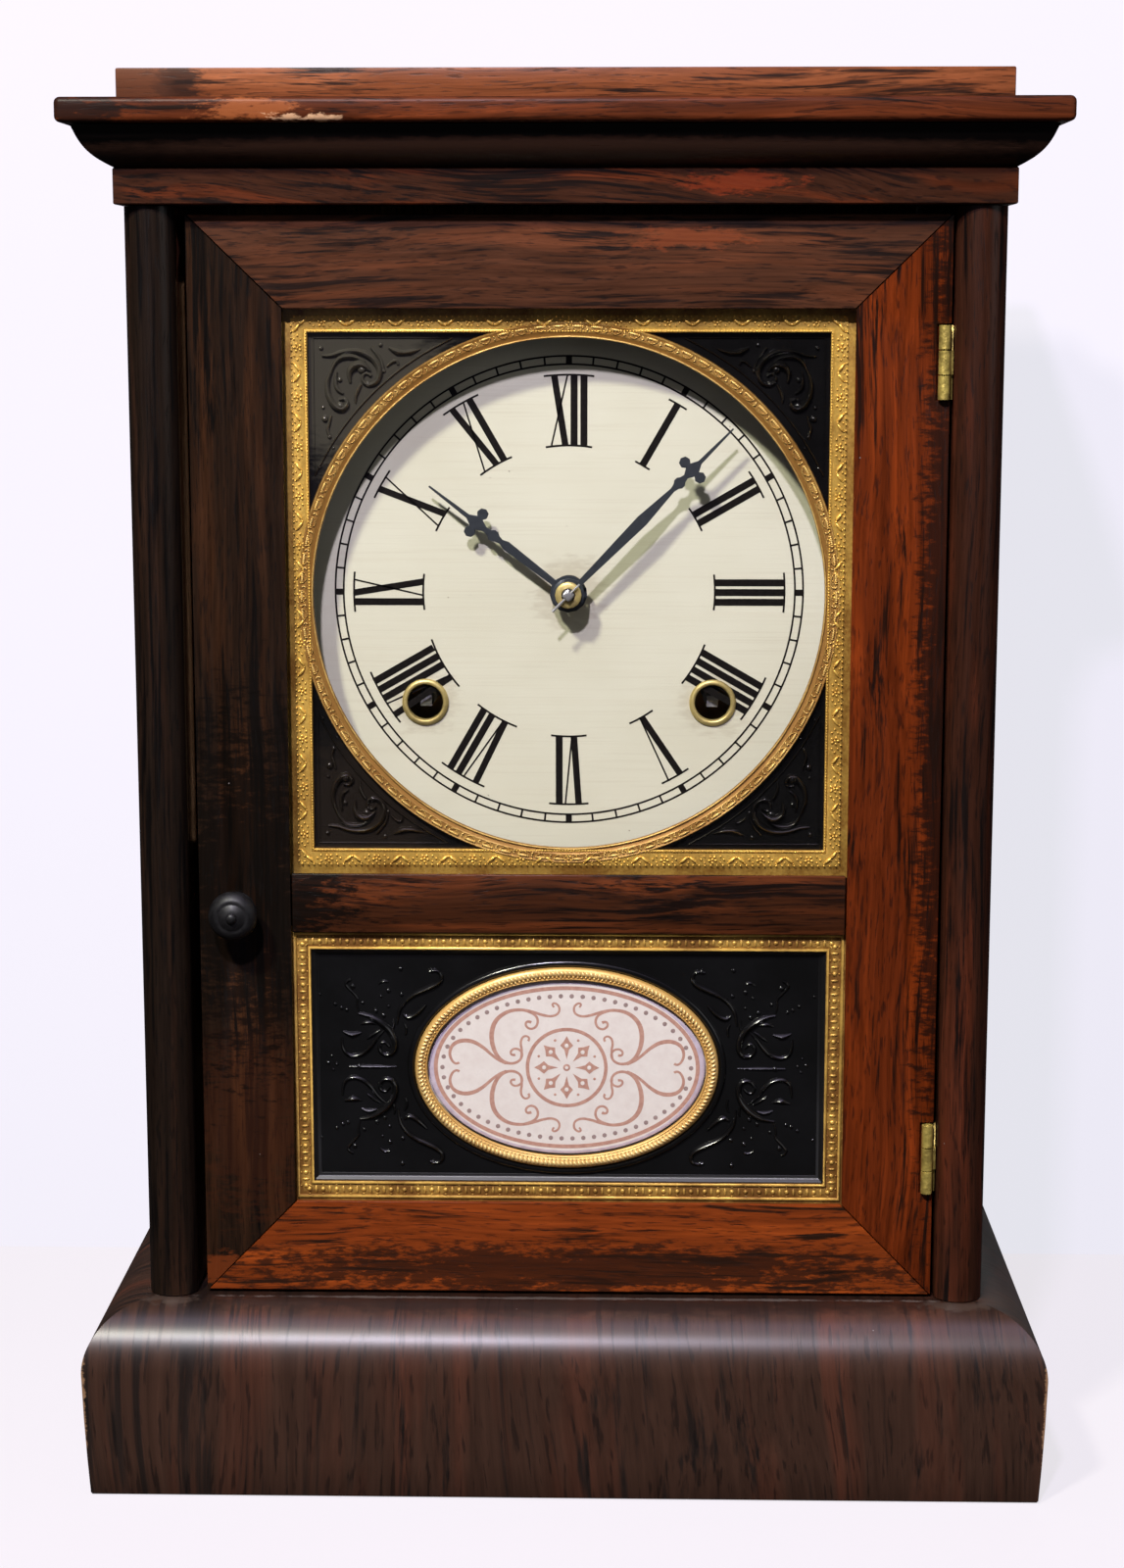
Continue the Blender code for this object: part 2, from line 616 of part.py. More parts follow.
def make_columns():
    """Half-round columns planted on the front edges of the sides."""
    half = SIDE_THICKNESS / 2
    radius = (half ** 2 + COLUMN_RISE ** 2) / (2 * COLUMN_RISE)
    reach = math.asin(half / radius)
    z_range = (BASE_HEIGHT + SEAT, FRIEZE_BOTTOM - SEAT)
    outline = [(half, depth(COLUMN_DEPTH)), (-half, depth(COLUMN_DEPTH))]
    for step in range(13):
        turn = -reach + 2 * reach * step / 12
        outline.append((radius * math.sin(turn), depth(radius - radius * math.cos(turn))))
    columns = {}
    for label, sign in (("left", -1), ("right", 1)):
        mesh = outline_mesh("column_" + label, [outline], z_range[1] - z_range[0])
        world = Matrix.Translation((sign * (HALF_CASE - half), 0.0, sum(z_range) / 2))
        item = place("column_" + label, mesh, DARK_WOOD, world)
        smooth(item)
        columns[label] = item
    return columns


def rail_profile(width, both=False):
    """Section of a door member: its width outwards, and the rebate behind its inner lip."""
    rebate = LIP_THICKNESS
    points = [(0.0, 0.0), (width, 0.0)]
    if both:
        points += [(width, rebate), (width - LIP_WIDTH, rebate), (width - LIP_WIDTH, DOOR_THICKNESS)]
    else:
        points.append((width, DOOR_THICKNESS))
    return points + [(LIP_WIDTH, DOOR_THICKNESS), (LIP_WIDTH, rebate), (0.0, rebate)]


def make_door_frame():
    """Two stiles and two rails mitred at the corners, and a middle rail between the stiles."""
    face = depth(DOOR_SETBACK)
    width = OPENING_RIGHT - OPENING_LEFT
    rail_length = width - 2 * MITRE_STEP
    slope = STILE_WIDTH / TOP_RAIL_HEIGHT
    start = Vector((OPENING_LEFT + MITRE_STEP, face, UPPER_TOP))
    profile = rail_profile(TOP_RAIL_HEIGHT)
    moulding("top_rail", profile, start, X_AXIS, Z_AXIS, Y_AXIS, rail_length, (slope, slope), ROSEWOOD)
    slope = STILE_WIDTH / BOTTOM_RAIL_HEIGHT
    start = Vector((OPENING_LEFT + MITRE_STEP, face, LOWER_BOTTOM))
    profile = rail_profile(BOTTOM_RAIL_HEIGHT)
    moulding("bottom_rail", profile, start, X_AXIS, -Z_AXIS, Y_AXIS, rail_length, (slope, slope), ROSEWOOD)
    start = Vector((OPENING_LEFT + SEAT, face, LOWER_TOP))
    profile = rail_profile(MIDDLE_RAIL_HEIGHT, both=True)
    moulding("middle_rail", profile, start, X_AXIS, Z_AXIS, Y_AXIS, width - 2 * SEAT, (0.0, 0.0), ROSEWOOD)
    profile = rail_profile(STILE_WIDTH)
    slopes = (BOTTOM_RAIL_HEIGHT / STILE_WIDTH, TOP_RAIL_HEIGHT / STILE_WIDTH)
    length = UPPER_TOP - LOWER_BOTTOM
    start = Vector((OPENING_LEFT, face, LOWER_BOTTOM))
    left = moulding("stile_left", profile, start, Z_AXIS, -X_AXIS, Y_AXIS, length, slopes, ROSEWOOD)
    start = Vector((OPENING_RIGHT, face, LOWER_BOTTOM))
    right = moulding("stile_right", profile, start, Z_AXIS, X_AXIS, Y_AXIS, length, slopes, ROSEWOOD)
    return left, right


def rebate_range(z_low, z_high):
    """X and Z ranges of a filling that sits in a door rebate."""
    grow = LIP_WIDTH - SEAT
    return (OPENING_LEFT - grow, OPENING_RIGHT + grow), (z_low - grow, z_high + grow)


def make_upper_fillings():
    """Glass, gilt sash frame, black spandrel plate and gilt dial ring of the upper light."""
    x_range, z_range = rebate_range(UPPER_BOTTOM, UPPER_TOP)
    glass_front = REBATE_SETBACK + SEAT
    sash_front = glass_front + GLASS_THICKNESS + SEAT
    plate_front = sash_front + SASH_THICKNESS + SEAT
    centre = (DOOR_CENTRE_X, RING_CENTRE_Z)
    box("upper_glass", x_range, (depth(glass_front), depth(sash_front - SEAT)), z_range, GLASS)
    inner_x = (OPENING_LEFT + UPPER_SASH_MARGIN, OPENING_RIGHT - UPPER_SASH_MARGIN)
    inner_z = (UPPER_BOTTOM + UPPER_SASH_MARGIN, UPPER_TOP - UPPER_SASH_MARGIN)
    y_range = (depth(sash_front), depth(sash_front + SASH_THICKNESS))
    outlines = [rectangle(x_range, z_range), rectangle(inner_x, inner_z)]
    sash = flat_piece("upper_gilt_sash", outlines, y_range, GILT)
    clear = (y_range[0] - SASH_THICKNESS, y_range[1] + SASH_THICKNESS)
    cut(sash, rod("ring_clearance", centre, RING_OUTER_RADIUS + SEAT, clear, sides=RING_SIDES))
    hole = circle(centre, RING_INNER_RADIUS + SEAT, RING_SIDES)
    y_range = (depth(plate_front), depth(plate_front + SPANDREL_THICKNESS))
    flat_piece("spandrel_plate", [rectangle(x_range, z_range), hole], y_range, BLACK)
    inner = RING_INNER_RADIUS
    outer = RING_OUTER_RADIUS
    high = SASH_THICKNESS
    shoulder = 0.35 * RING_WIDTH
    profile = [(inner, 0.6 * high), (inner + shoulder, high), (outer - shoulder, high), (outer, 0.6 * high)]
    profile += [(outer, 0.0), (inner, 0.0)]
    world = facing_y((DOOR_CENTRE_X, RING_CENTRE_Z), depth(sash_front + SASH_THICKNESS))
    turned("dial_ring", profile, world, GILT, steps=RING_SIDES, closed=True)


def make_lower_fillings():
    """Gilt sash frame, black panel, gilt oval ring and oval tablet of the lower light."""
    x_range, z_range = rebate_range(LOWER_BOTTOM, LOWER_TOP)
    sash_front = REBATE_SETBACK + SEAT
    panel_front = sash_front + SASH_THICKNESS + SEAT
    tablet_front = panel_front + PANEL_THICKNESS + SEAT
    inner_x = (OPENING_LEFT + LOWER_SASH_MARGIN, OPENING_RIGHT - LOWER_SASH_MARGIN)
    inner_z = (LOWER_BOTTOM + LOWER_SASH_MARGIN, LOWER_TOP - LOWER_SASH_MARGIN)
    outlines = [rectangle(x_range, z_range), rectangle(inner_x, inner_z)]
    y_range = (depth(sash_front), depth(sash_front + SASH_THICKNESS))
    flat_piece("lower_gilt_sash", outlines, y_range, GILT)
    oval_inner = (OVAL_OUTER_X - OVAL_RING_WIDTH, OVAL_OUTER_Z - OVAL_RING_WIDTH)
    hole = ellipse(OVAL_CENTRE, oval_inner[0] + SEAT, oval_inner[1] + SEAT, OVAL_SIDES)
    y_range = (depth(panel_front), depth(panel_front + PANEL_THICKNESS))
    flat_piece("lower_panel", [rectangle(x_range, z_range), hole], y_range, BLACK)
    outer = ellipse(OVAL_CENTRE, OVAL_OUTER_X, OVAL_OUTER_Z, OVAL_SIDES)
    inner = ellipse(OVAL_CENTRE, oval_inner[0], oval_inner[1], OVAL_SIDES)
    y_range = (depth(sash_front), depth(sash_front + SASH_THICKNESS))
    ring = flat_piece("oval_ring", [outer, inner], y_range, GILT)
    smooth(ring)
    reach = TABLET_OVERLAP
    outline = ellipse(OVAL_CENTRE, oval_inner[0] + reach, oval_inner[1] + reach, OVAL_SIDES)
    y_range = (depth(tablet_front), depth(tablet_front + TABLET_THICKNESS))
    tablet = flat_piece("oval_tablet", [outline], y_range, TABLET)
    smooth(tablet)


def knob_profile(shaft_end):
    """Turned knob from its nipple, over the dome and neck, down to the end of its shaft."""
    rim = 0.42 * KNOB_LENGTH
    points = [(0.0, KNOB_LENGTH), (0.9 * MM, KNOB_LENGTH - 0.3 * MM), (1.4 * MM, KNOB_LENGTH - 1.4 * MM)]
    for step in range(6):
        turn = math.radians(20.0 + 70.0 * step / 5)
        points.append((KNOB_RADIUS * math.sin(turn), rim + (KNOB_LENGTH - 2.4 * MM - rim) * math.cos(turn)))
    points += [(0.85 * KNOB_RADIUS, rim - 1.2 * MM), (0.5 * KNOB_RADIUS, 0.2 * KNOB_LENGTH)]
    points += [(0.62 * KNOB_RADIUS, SEAT), (KNOB_SHAFT_RADIUS, SEAT), (KNOB_SHAFT_RADIUS, -shaft_end)]
    return points + [(0.0, -shaft_end)]


def make_latch(stile, side):
    """Turning knob through the left stile, its tongue behind, and the slot that the tongue enters."""
    tongue_front = DOOR_SETBACK + DOOR_THICKNESS + SEAT
    shaft_end = tongue_front + TONGUE_THICKNESS + 0.5 * MM - DOOR_SETBACK
    world = facing_y((KNOB_X, KNOB_Z), depth(DOOR_SETBACK))
    turned("door_knob", knob_profile(shaft_end), world, EBONISED, steps=20)
    bore = rod("knob_bore", (KNOB_X, KNOB_Z), KNOB_SHAFT_RADIUS + SEAT,
               (depth(0.0), depth(DOOR_SETBACK + 2 * DOOR_THICKNESS)), sides=20)
    cut(stile, bore)
    half = TONGUE_WIDTH / 2
    outline = [(KNOB_X + half, KNOB_Z - half)]
    for step in range(7):
        turn = math.pi * step / 6
        tip_z = KNOB_Z + TONGUE_REACH - half
        outline.append((KNOB_X + half * math.cos(turn), tip_z + half * math.sin(turn)))
    outline.append((KNOB_X - half, KNOB_Z - half))
    hole = circle((KNOB_X, KNOB_Z), KNOB_SHAFT_RADIUS + SEAT, 20)
    y_range = (depth(tongue_front), depth(tongue_front + TONGUE_THICKNESS))
    flat_piece("latch_tongue", [outline, hole], y_range, BRASS)
    room = 1.0 * MM
    slot_x = (KNOB_X - TONGUE_REACH - room, -INNER_HALF + room)
    slot_y = (depth(tongue_front - room), depth(tongue_front + TONGUE_THICKNESS + room))
    slot_z = (KNOB_Z - half - room, KNOB_Z + TONGUE_REACH - half)
    cut(side, box("latch_slot", slot_x, slot_y, slot_z, cutter=True))


def make_hinge(label, bottom, stile):
    """A butt hinge: two outer knuckles on the door leaf, one middle knuckle and the pin on the case leaf."""
    centre = (HINGE_X, depth(HINGE_SETBACK))
    third = (HINGE_HEIGHT - 2 * SEAT) / 3
    lower = (bottom, bottom + third)
    middle = (bottom + third + SEAT, bottom + 2 * third + SEAT)
    upper = (bottom + 2 * third + 2 * SEAT, bottom + HINGE_HEIGHT)
    whole = (bottom, bottom + HINGE_HEIGHT)
    leaf_back = depth(HINGE_SETBACK + HINGE_LEAF_DEPTH)
    axis_y = depth(HINGE_SETBACK)
    door_x = (HINGE_X + 0.5 * MM, HINGE_X + 0.5 * MM + HINGE_LEAF_THICKNESS)
    name = "hinge_" + label
    leaf = box(name + "_door_leaf", door_x, (axis_y, leaf_back), whole, BRASS)
    for index, part in enumerate((lower, upper)):
        join(leaf, post(f"{name}_knuckle_{index}", centre, HINGE_BARREL_RADIUS, part))
    sweep = math.hypot(INNER_HALF - HINGE_X, HINGE_BARREL_RADIUS) + RUNNING
    gap = (door_x[0] - 2 * MM, door_x[1] + MM)
    gap_z = (middle[0] - SEAT, middle[1] + SEAT)
    cut(leaf, box(name + "_gap", gap, (axis_y - MM, axis_y + sweep), gap_z, cutter=True))
    bore = HINGE_PIN_RADIUS + RUNNING
    cut(leaf, post(name + "_bore", centre, bore, (bottom - MM, whole[1] + MM)))
    case_x = (INNER_HALF - SEAT - HINGE_LEAF_THICKNESS, INNER_HALF - SEAT)
    case_leaf = box(name + "_case_leaf", case_x, (axis_y + 0.6 * MM, leaf_back), whole, BRASS)
    for index, part in enumerate((lower, upper)):
        low = part[0] - SEAT
        high = part[1] + SEAT
        clear = (axis_y - MM, axis_y + HINGE_BARREL_RADIUS + RUNNING)
        cut(case_leaf, box(f"{name}_relief_{index}", (case_x[0] - MM, case_x[1] + MM), clear, (low, high),
                           cutter=True))
    web_y = (axis_y + 0.5 * MM, axis_y + HINGE_BARREL_RADIUS - 0.1 * MM)
    web_x = (HINGE_X, case_x[1] - 0.1 * MM)
    web_z = (middle[0] + 0.1 * MM, middle[1] - 0.1 * MM)
    join(case_leaf, box(name + "_web", web_x, web_y, web_z, cutter=True))
    join(case_leaf, post(name + "_middle", centre, HINGE_BARREL_RADIUS, middle))
    join(case_leaf, post(name + "_pin", centre, HINGE_PIN_RADIUS, whole, sides=12))
    notch_z = (bottom - SEAT, whole[1] + SEAT)
    notch_reach = HINGE_BARREL_RADIUS + RUNNING
    notch_x = (HINGE_X - notch_reach, DOOR_RIGHT + MM)
    notch_y = (depth(0.0), axis_y + notch_reach)
    cut(stile, box(name + "_notch", notch_x, notch_y, notch_z, cutter=True))
    mortise_x = (door_x[0] - SEAT, DOOR_RIGHT + MM)
    cut(stile, box(name + "_mortise", mortise_x, (axis_y, leaf_back + SEAT), notch_z, cutter=True))


def make_dial():
    """Painted dial plate on two cleats, with a brass grommet in each winding hole."""
    centre = (DIAL_CENTRE_X, DIAL_CENTRE_Z)
    half_x = DIAL_WIDTH / 2
    half_z = DIAL_HEIGHT / 2
    x_range = (centre[0] - half_x, centre[0] + half_x)
    z_range = (centre[1] - half_z, centre[1] + half_z)
    tube = GROMMET_BORE + GROMMET_TUBE
    outlines = [rectangle(x_range, z_range), circle(centre, DIAL_CENTRE_HOLE, 24)]
    for sign in (-1, 1):
        outlines.append(circle((centre[0] + sign * WINDING_SPACING / 2, WINDING_Z), tube + SEAT, 24))
    dial_back = DIAL_SETBACK + DIAL_THICKNESS
    flat_piece("dial", outlines, (depth(DIAL_SETBACK), depth(dial_back)), CREAM)
    for label, sign in (("left", -1), ("right", 1)):
        bead = 0.9 * MM
        profile = [(GROMMET_BORE, 0.5 * bead), (GROMMET_BORE + GROMMET_TUBE, bead)]
        profile += [(GROMMET_FLANGE, 0.4 * bead), (GROMMET_FLANGE, SEAT), (tube, SEAT)]
        profile += [(tube, -DIAL_THICKNESS), (GROMMET_BORE, -DIAL_THICKNESS)]
        world = facing_y((centre[0] + sign * WINDING_SPACING / 2, WINDING_Z), depth(DIAL_SETBACK))
        turned("grommet_" + label, profile, world, BRASS, steps=20, closed=True)
        x_near = sign * (INNER_HALF - CLEAT_WIDTH)
        x_far = sign * (INNER_HALF - SEAT)
        y_range = (depth(dial_back + SEAT), depth(dial_back + SEAT + CLEAT_DEPTH))
        cleat_z = (z_range[0] + CLEAT_BOTTOM_RISE, z_range[1])
        box("dial_cleat_" + label, tuple(sorted((x_near, x_far))), y_range, cleat_z, PINE)


def hand_outline(length, cross, bulge, blade, boss):
    """Outline of a cross-tipped hand that points along +Y, from its tip round and back."""
    half = [(0.12 * MM, length), (0.42 * MM, cross + 2.6 * MM)]
    for step in range(7):
        turn = math.radians(150.0 - 300.0 * step / 6)
        half.append((LOBE_OFFSET + LOBE_RADIUS * math.cos(turn), cross + LOBE_RADIUS * math.sin(turn)))
    half.append((0.5 * MM, (cross + bulge) / 2))
    for step in range(4):
        turn = math.radians(55.0 - 110.0 * step / 3)
        half.append((LOBE_RADIUS * math.cos(turn), bulge + LOBE_RADIUS * math.sin(turn)))
    half += [(0.45 * MM, bulge - 2.4 * MM), (blade / 2, length * 0.45), (0.75 * MM, boss + 0.3 * MM)]
    for step in range(7):
        turn = math.radians(75.0 - 165.0 * step / 6)
        half.append((boss * math.cos(turn), boss * math.sin(turn)))
    mirrored = [(-x, z) for x, z in reversed(half[:-1])]
    return half + mirrored


def make_hand(name, outline, hole, angle, setback):
    """A hand cut from sheet, turned clockwise to its angle as seen from the front."""
    front = depth(setback)
    mesh = outline_mesh(name, [outline, circle((0.0, 0.0), hole, 16)], HAND_THICKNESS)
    turn = Matrix.Rotation(math.radians(angle), 4, "Y")
    centre = Matrix.Translation((DIAL_CENTRE_X, front + HAND_THICKNESS / 2, DIAL_CENTRE_Z))
    return place(name, mesh, BLUED, centre @ turn @ Matrix.Rotation(math.pi / 2, 4, "X"))


def make_hands():
    """Hour hand on its pipe, minute hand with its brass bush, and the taper pin that holds it."""
    outline = hand_outline(HOUR_LENGTH, HOUR_CROSS, HOUR_BULGE, HOUR_BLADE, HAND_BOSS)
    make_hand("hour_hand", outline, HOUR_PIPE_RADIUS + SEAT, HOUR_ANGLE, HOUR_HAND_SETBACK)
    outline = hand_outline(MINUTE_LENGTH, MINUTE_CROSS, MINUTE_BULGE, MINUTE_BLADE, HAND_BOSS)
    hand = make_hand("minute_hand", outline, CENTRE_ARBOR_RADIUS + SEAT, MINUTE_ANGLE, MINUTE_HAND_SETBACK)
    inner = CENTRE_ARBOR_RADIUS + SEAT
    profile = [(inner, BUSH_LENGTH), (0.8 * BUSH_RADIUS, BUSH_LENGTH), (BUSH_RADIUS, 0.8 * BUSH_LENGTH)]
    profile += [(BUSH_RADIUS, -0.3 * MM), (inner, -0.3 * MM)]
    world = facing_y((DIAL_CENTRE_X, DIAL_CENTRE_Z), depth(MINUTE_HAND_SETBACK))
    bush = turned("minute_bush", profile, world, BRASS, steps=16, closed=True, cutter=True)
    join(hand, bush)
    radii = (TAPER_PIN_RADIUS, 0.6 * TAPER_PIN_RADIUS)
    bar("hand_taper_pin", radii, TAPER_PIN_LENGTH, taper_pin_world(), STEEL, 10)


def taper_pin_world():
    """The pin lies across the arbor, along the minute hand, in front of the bush."""
    setback = MINUTE_HAND_SETBACK - BUSH_LENGTH - TAPER_PIN_RADIUS - SEAT
    turn = Matrix.Rotation(math.radians(MINUTE_ANGLE), 4, "Y")
    shift = Matrix.Translation((0.0, 0.0, -0.8 * MM))
    return Matrix.Translation((DIAL_CENTRE_X, depth(setback), DIAL_CENTRE_Z)) @ turn @ shift


def gear_outline(centre, teeth, module, phase=0.0):
    """Pointed teeth round a wheel. The phase turns the first tooth from +X towards +Z, in tooth pitches."""
    points = []
    outer = module * (teeth / 2 + TOOTH_ADDENDUM)
    root = module * (teeth / 2 - TOOTH_DEDENDUM)
    for index in range(2 * teeth):
        turn = math.pi * (index + 2 * phase) / teeth
        radius = outer if index % 2 == 0 else root
        points.append((centre[0] + radius * math.cos(turn), centre[1] + radius * math.sin(turn)))
    return points


def mesh_phase(first, second, first_teeth, second_teeth, first_phase):
    """Phase of a second wheel whose tooth gap faces the first wheel's tooth on the line of centres."""
    line = math.atan2(second[1] - first[1], second[0] - first[0])
    first_offset = line / (2 * math.pi) * first_teeth - first_phase
    back = (line + math.pi) / (2 * math.pi) * second_teeth
    return (back + first_offset + 0.5) % 1.0


def arbor(name, centre, sections, finish=STEEL, steps=14):
    """A turned arbor along Y. Its sections are (setback, radius) pairs from front to back."""
    first = sections[0][0]
    profile = [(0.0, 0.0)]
    for setback, radius in sections:
        profile.append((radius, first - setback))
    profile.append((0.0, first - sections[-1][0]))
    return turned(name, profile, facing_y(centre, depth(first)), finish, steps=steps)


def stepped(*sections):
    """Arbor sections from (front setback, back setback, radius) triples."""
    pairs = []
    for front, back, radius in sections:
        pairs += [(front, radius), (back, radius)]
    return pairs


TIME_ARBOR = (DIAL_CENTRE_X + WINDING_SPACING / 2, WINDING_Z)
STRIKE_ARBOR = (DIAL_CENTRE_X - WINDING_SPACING / 2, WINDING_Z)
CENTRE = (DIAL_CENTRE_X, DIAL_CENTRE_Z)
SECOND_ARBOR = circle_crossing(TIME_ARBOR, CENTRE, GREAT_DISTANCE, SECOND_DISTANCE)
PIN_TURN = math.radians(STRIKE_PIN_ANGLE)
PIN_ARBOR = (STRIKE_ARBOR[0] + GREAT_DISTANCE * math.cos(PIN_TURN),
             WINDING_Z + GREAT_DISTANCE * math.sin(PIN_TURN))
MOTION_TURN = math.radians(MOTION_ANGLE)
MOTION_STUD = (CENTRE[0] + MOTION_DISTANCE * math.cos(MOTION_TURN),
               CENTRE[1] + MOTION_DISTANCE * math.sin(MOTION_TURN))
ESCAPE_ARBOR = (PENDULUM_X, ESCAPE_Z)
VERGE_ARBOR = (PENDULUM_X, PENDULUM_PIVOT_Z)
HAMMER_ARBOR = (HAMMER_X, HAMMER_Z)


def plate_outline():
    """Movement plate with its corners cut off."""
    left = DIAL_CENTRE_X - PLATE_WIDTH / 2
    right = DIAL_CENTRE_X + PLATE_WIDTH / 2
    low = DIAL_CENTRE_Z - PLATE_BELOW_CENTRE
    high = DIAL_CENTRE_Z + PLATE_ABOVE_CENTRE
    step = PLATE_CORNER_CUT
    points = [(left + step, low), (right - step, low), (right, low + step), (right, high - step)]
    return points + [(right - step, high), (left + step, high), (left, high - step), (left, low + step)]


def pillar_places():
    """Centres of the four pillars: two at the top corners, two inside the great wheels at the foot."""
    reach = PLATE_WIDTH / 2 - PILLAR_INSET
    low = DIAL_CENTRE_Z - PLATE_BELOW_CENTRE + PILLAR_INSET
    high = DIAL_CENTRE_Z + PLATE_ABOVE_CENTRE - PLATE_CORNER_CUT - PILLAR_INSET
    places = [(LOW_PILLAR_OFFSET, low), (reach, high)]
    return [(DIAL_CENTRE_X + side * offset, z) for side in (-1, 1) for offset, z in places]


def pivot_hole(centre, radius):
    """Points round the hole of a pivot or a thin shaft."""
    return circle(centre, radius, PIVOT_SIDES)


def make_movement_frame():
    """Front and back plates, the pillars riveted to the back plate, and the block that carries them."""
    pivot = PIVOT_RADIUS + RUNNING
    shaft_hole = ARBOR_RADIUS + RUNNING
    shared = [pivot_hole(centre, pivot) for centre in (SECOND_ARBOR, PIN_ARBOR, ESCAPE_ARBOR)]
    front_holes = shared + [pivot_hole(VERGE_ARBOR, shaft_hole), pivot_hole(HAMMER_ARBOR, pivot)]
    for centre in (TIME_ARBOR, STRIKE_ARBOR):
        front_holes.append(circle(centre, WINDING_ARBOR_RADIUS + RUNNING))
    front_holes.append(circle(CENTRE, CENTRE_ARBOR_RADIUS + RUNNING))
    front_y = (depth(FRONT_PLATE_SETBACK), depth(FRONT_PLATE_SETBACK + PLATE_THICKNESS))
    plate = flat_piece("front_plate", [plate_outline()] + front_holes, front_y, BRASS)
    stud_tip = HOUR_LAYER - 1.4 * MM
    stud_y = (depth(stud_tip), depth(FRONT_PLATE_SETBACK + 0.5 * PLATE_THICKNESS))
    join(plate, rod("minute_wheel_stud", MOTION_STUD, PIVOT_RADIUS, stud_y, sides=12))
    cock_x = (PENDULUM_X - 2.5 * MM, PENDULUM_X + 2.5 * MM)
    cock_z = (PENDULUM_PIVOT_Z + SUSPENSION_LENGTH + SEAT, PENDULUM_PIVOT_Z + SUSPENSION_LENGTH + 3.0 * MM)
    cock_y = (depth(PENDULUM_SETBACK - 1.6 * MM), depth(FRONT_PLATE_SETBACK + 0.5 * PLATE_THICKNESS))
    join(plate, box("suspension_cock", cock_x, cock_y, cock_z, cutter=True))
    back_holes = shared + [pivot_hole(VERGE_ARBOR, pivot), pivot_hole(HAMMER_ARBOR, shaft_hole)]
    back_holes += [pivot_hole(TIME_ARBOR, pivot), pivot_hole(CENTRE, pivot)]
    back_holes.append(circle(STRIKE_ARBOR, pivot, PIVOT_SIDES + 2))
    back_y = (depth(BACK_PLATE_SETBACK), depth(BACK_PLATE_SETBACK + PLATE_THICKNESS))
    plate = flat_piece("back_plate", [plate_outline()] + back_holes, back_y, BRASS)
    pillar_y = (front_y[1] + SEAT, back_y[0] + 0.5 * PLATE_THICKNESS)
    for index, centre in enumerate(pillar_places()):
        join(plate, rod(f"pillar_{index}", centre, PILLAR_RADIUS, pillar_y, sides=12))
    middle_x = DIAL_CENTRE_X + BLOCK_OFFSET_X
    x_range = (middle_x - BLOCK_WIDTH / 2, middle_x + BLOCK_WIDTH / 2)
    z_range = (DIAL_CENTRE_Z - BLOCK_HEIGHT / 2, DIAL_CENTRE_Z + BLOCK_HEIGHT / 2)
    box("movement_block", x_range, (back_y[1] + SEAT, depth(BACK_SETBACK - SEAT)), z_range, PINE)


def square_outline(centre, width):
    """A square end on an arbor."""
    half = width / 2
    return rectangle((centre[0] - half, centre[0] + half), (centre[1] - half, centre[1] + half))


def make_barrel(label, centre, phase):
    """Winding arbor with its square end and ratchet, and the great wheel that turns round it."""
    great_hub = HUB_RADIUS + 2.2 * MM
    shaft_front = WINDING_ARBOR_TIP + 9.0 * MM
    sections = stepped((shaft_front, BACK_PLATE_SETBACK - SEAT, WINDING_ARBOR_RADIUS),
                       (BACK_PLATE_SETBACK - SEAT, BACK_PLATE_SETBACK + PLATE_THICKNESS, PIVOT_RADIUS))
    shaft = arbor(label + "_winding_arbor", centre, sections, STEEL, steps=16)
    square_y = (depth(WINDING_ARBOR_TIP), depth(shaft_front + MM))
    outline = square_outline(centre, WINDING_SQUARE)
    join(shaft, flat_piece(label + "_square", [outline], square_y, cutter=True))
    ratchet_front = GREAT_LAYER - WHEEL_THICKNESS - SEAT
    ratchet = []
    for index in range(RATCHET_TEETH):
        turn = 2 * math.pi * index / RATCHET_TEETH
        for radius, lead in ((RATCHET_RADIUS, 0.0), (0.84 * RATCHET_RADIUS, 0.02)):
            angle = turn + lead
            ratchet.append((centre[0] + radius * math.cos(angle), centre[1] + radius * math.sin(angle)))
    ratchet_y = (depth(ratchet_front), depth(ratchet_front + WHEEL_THICKNESS))
    join(shaft, flat_piece(label + "_ratchet", [ratchet], ratchet_y, cutter=True))
    outline = gear_outline(centre, GREAT_TEETH, GREAT_MODULE, phase)
    bore = circle(centre, WINDING_ARBOR_RADIUS + RUNNING)
    y_range = (depth(GREAT_LAYER), depth(GREAT_LAYER + WHEEL_THICKNESS))
    great = flat_piece(label + "_great_wheel", [outline, bore], y_range, BRASS)
    hub_y = (depth(GREAT_LAYER + 0.5 * WHEEL_THICKNESS), depth(BACK_PLATE_SETBACK - 2 * SEAT))
    hub = flat_piece(label + "_great_hub", [circle(centre, great_hub), bore], hub_y, cutter=True)
    join(great, hub)


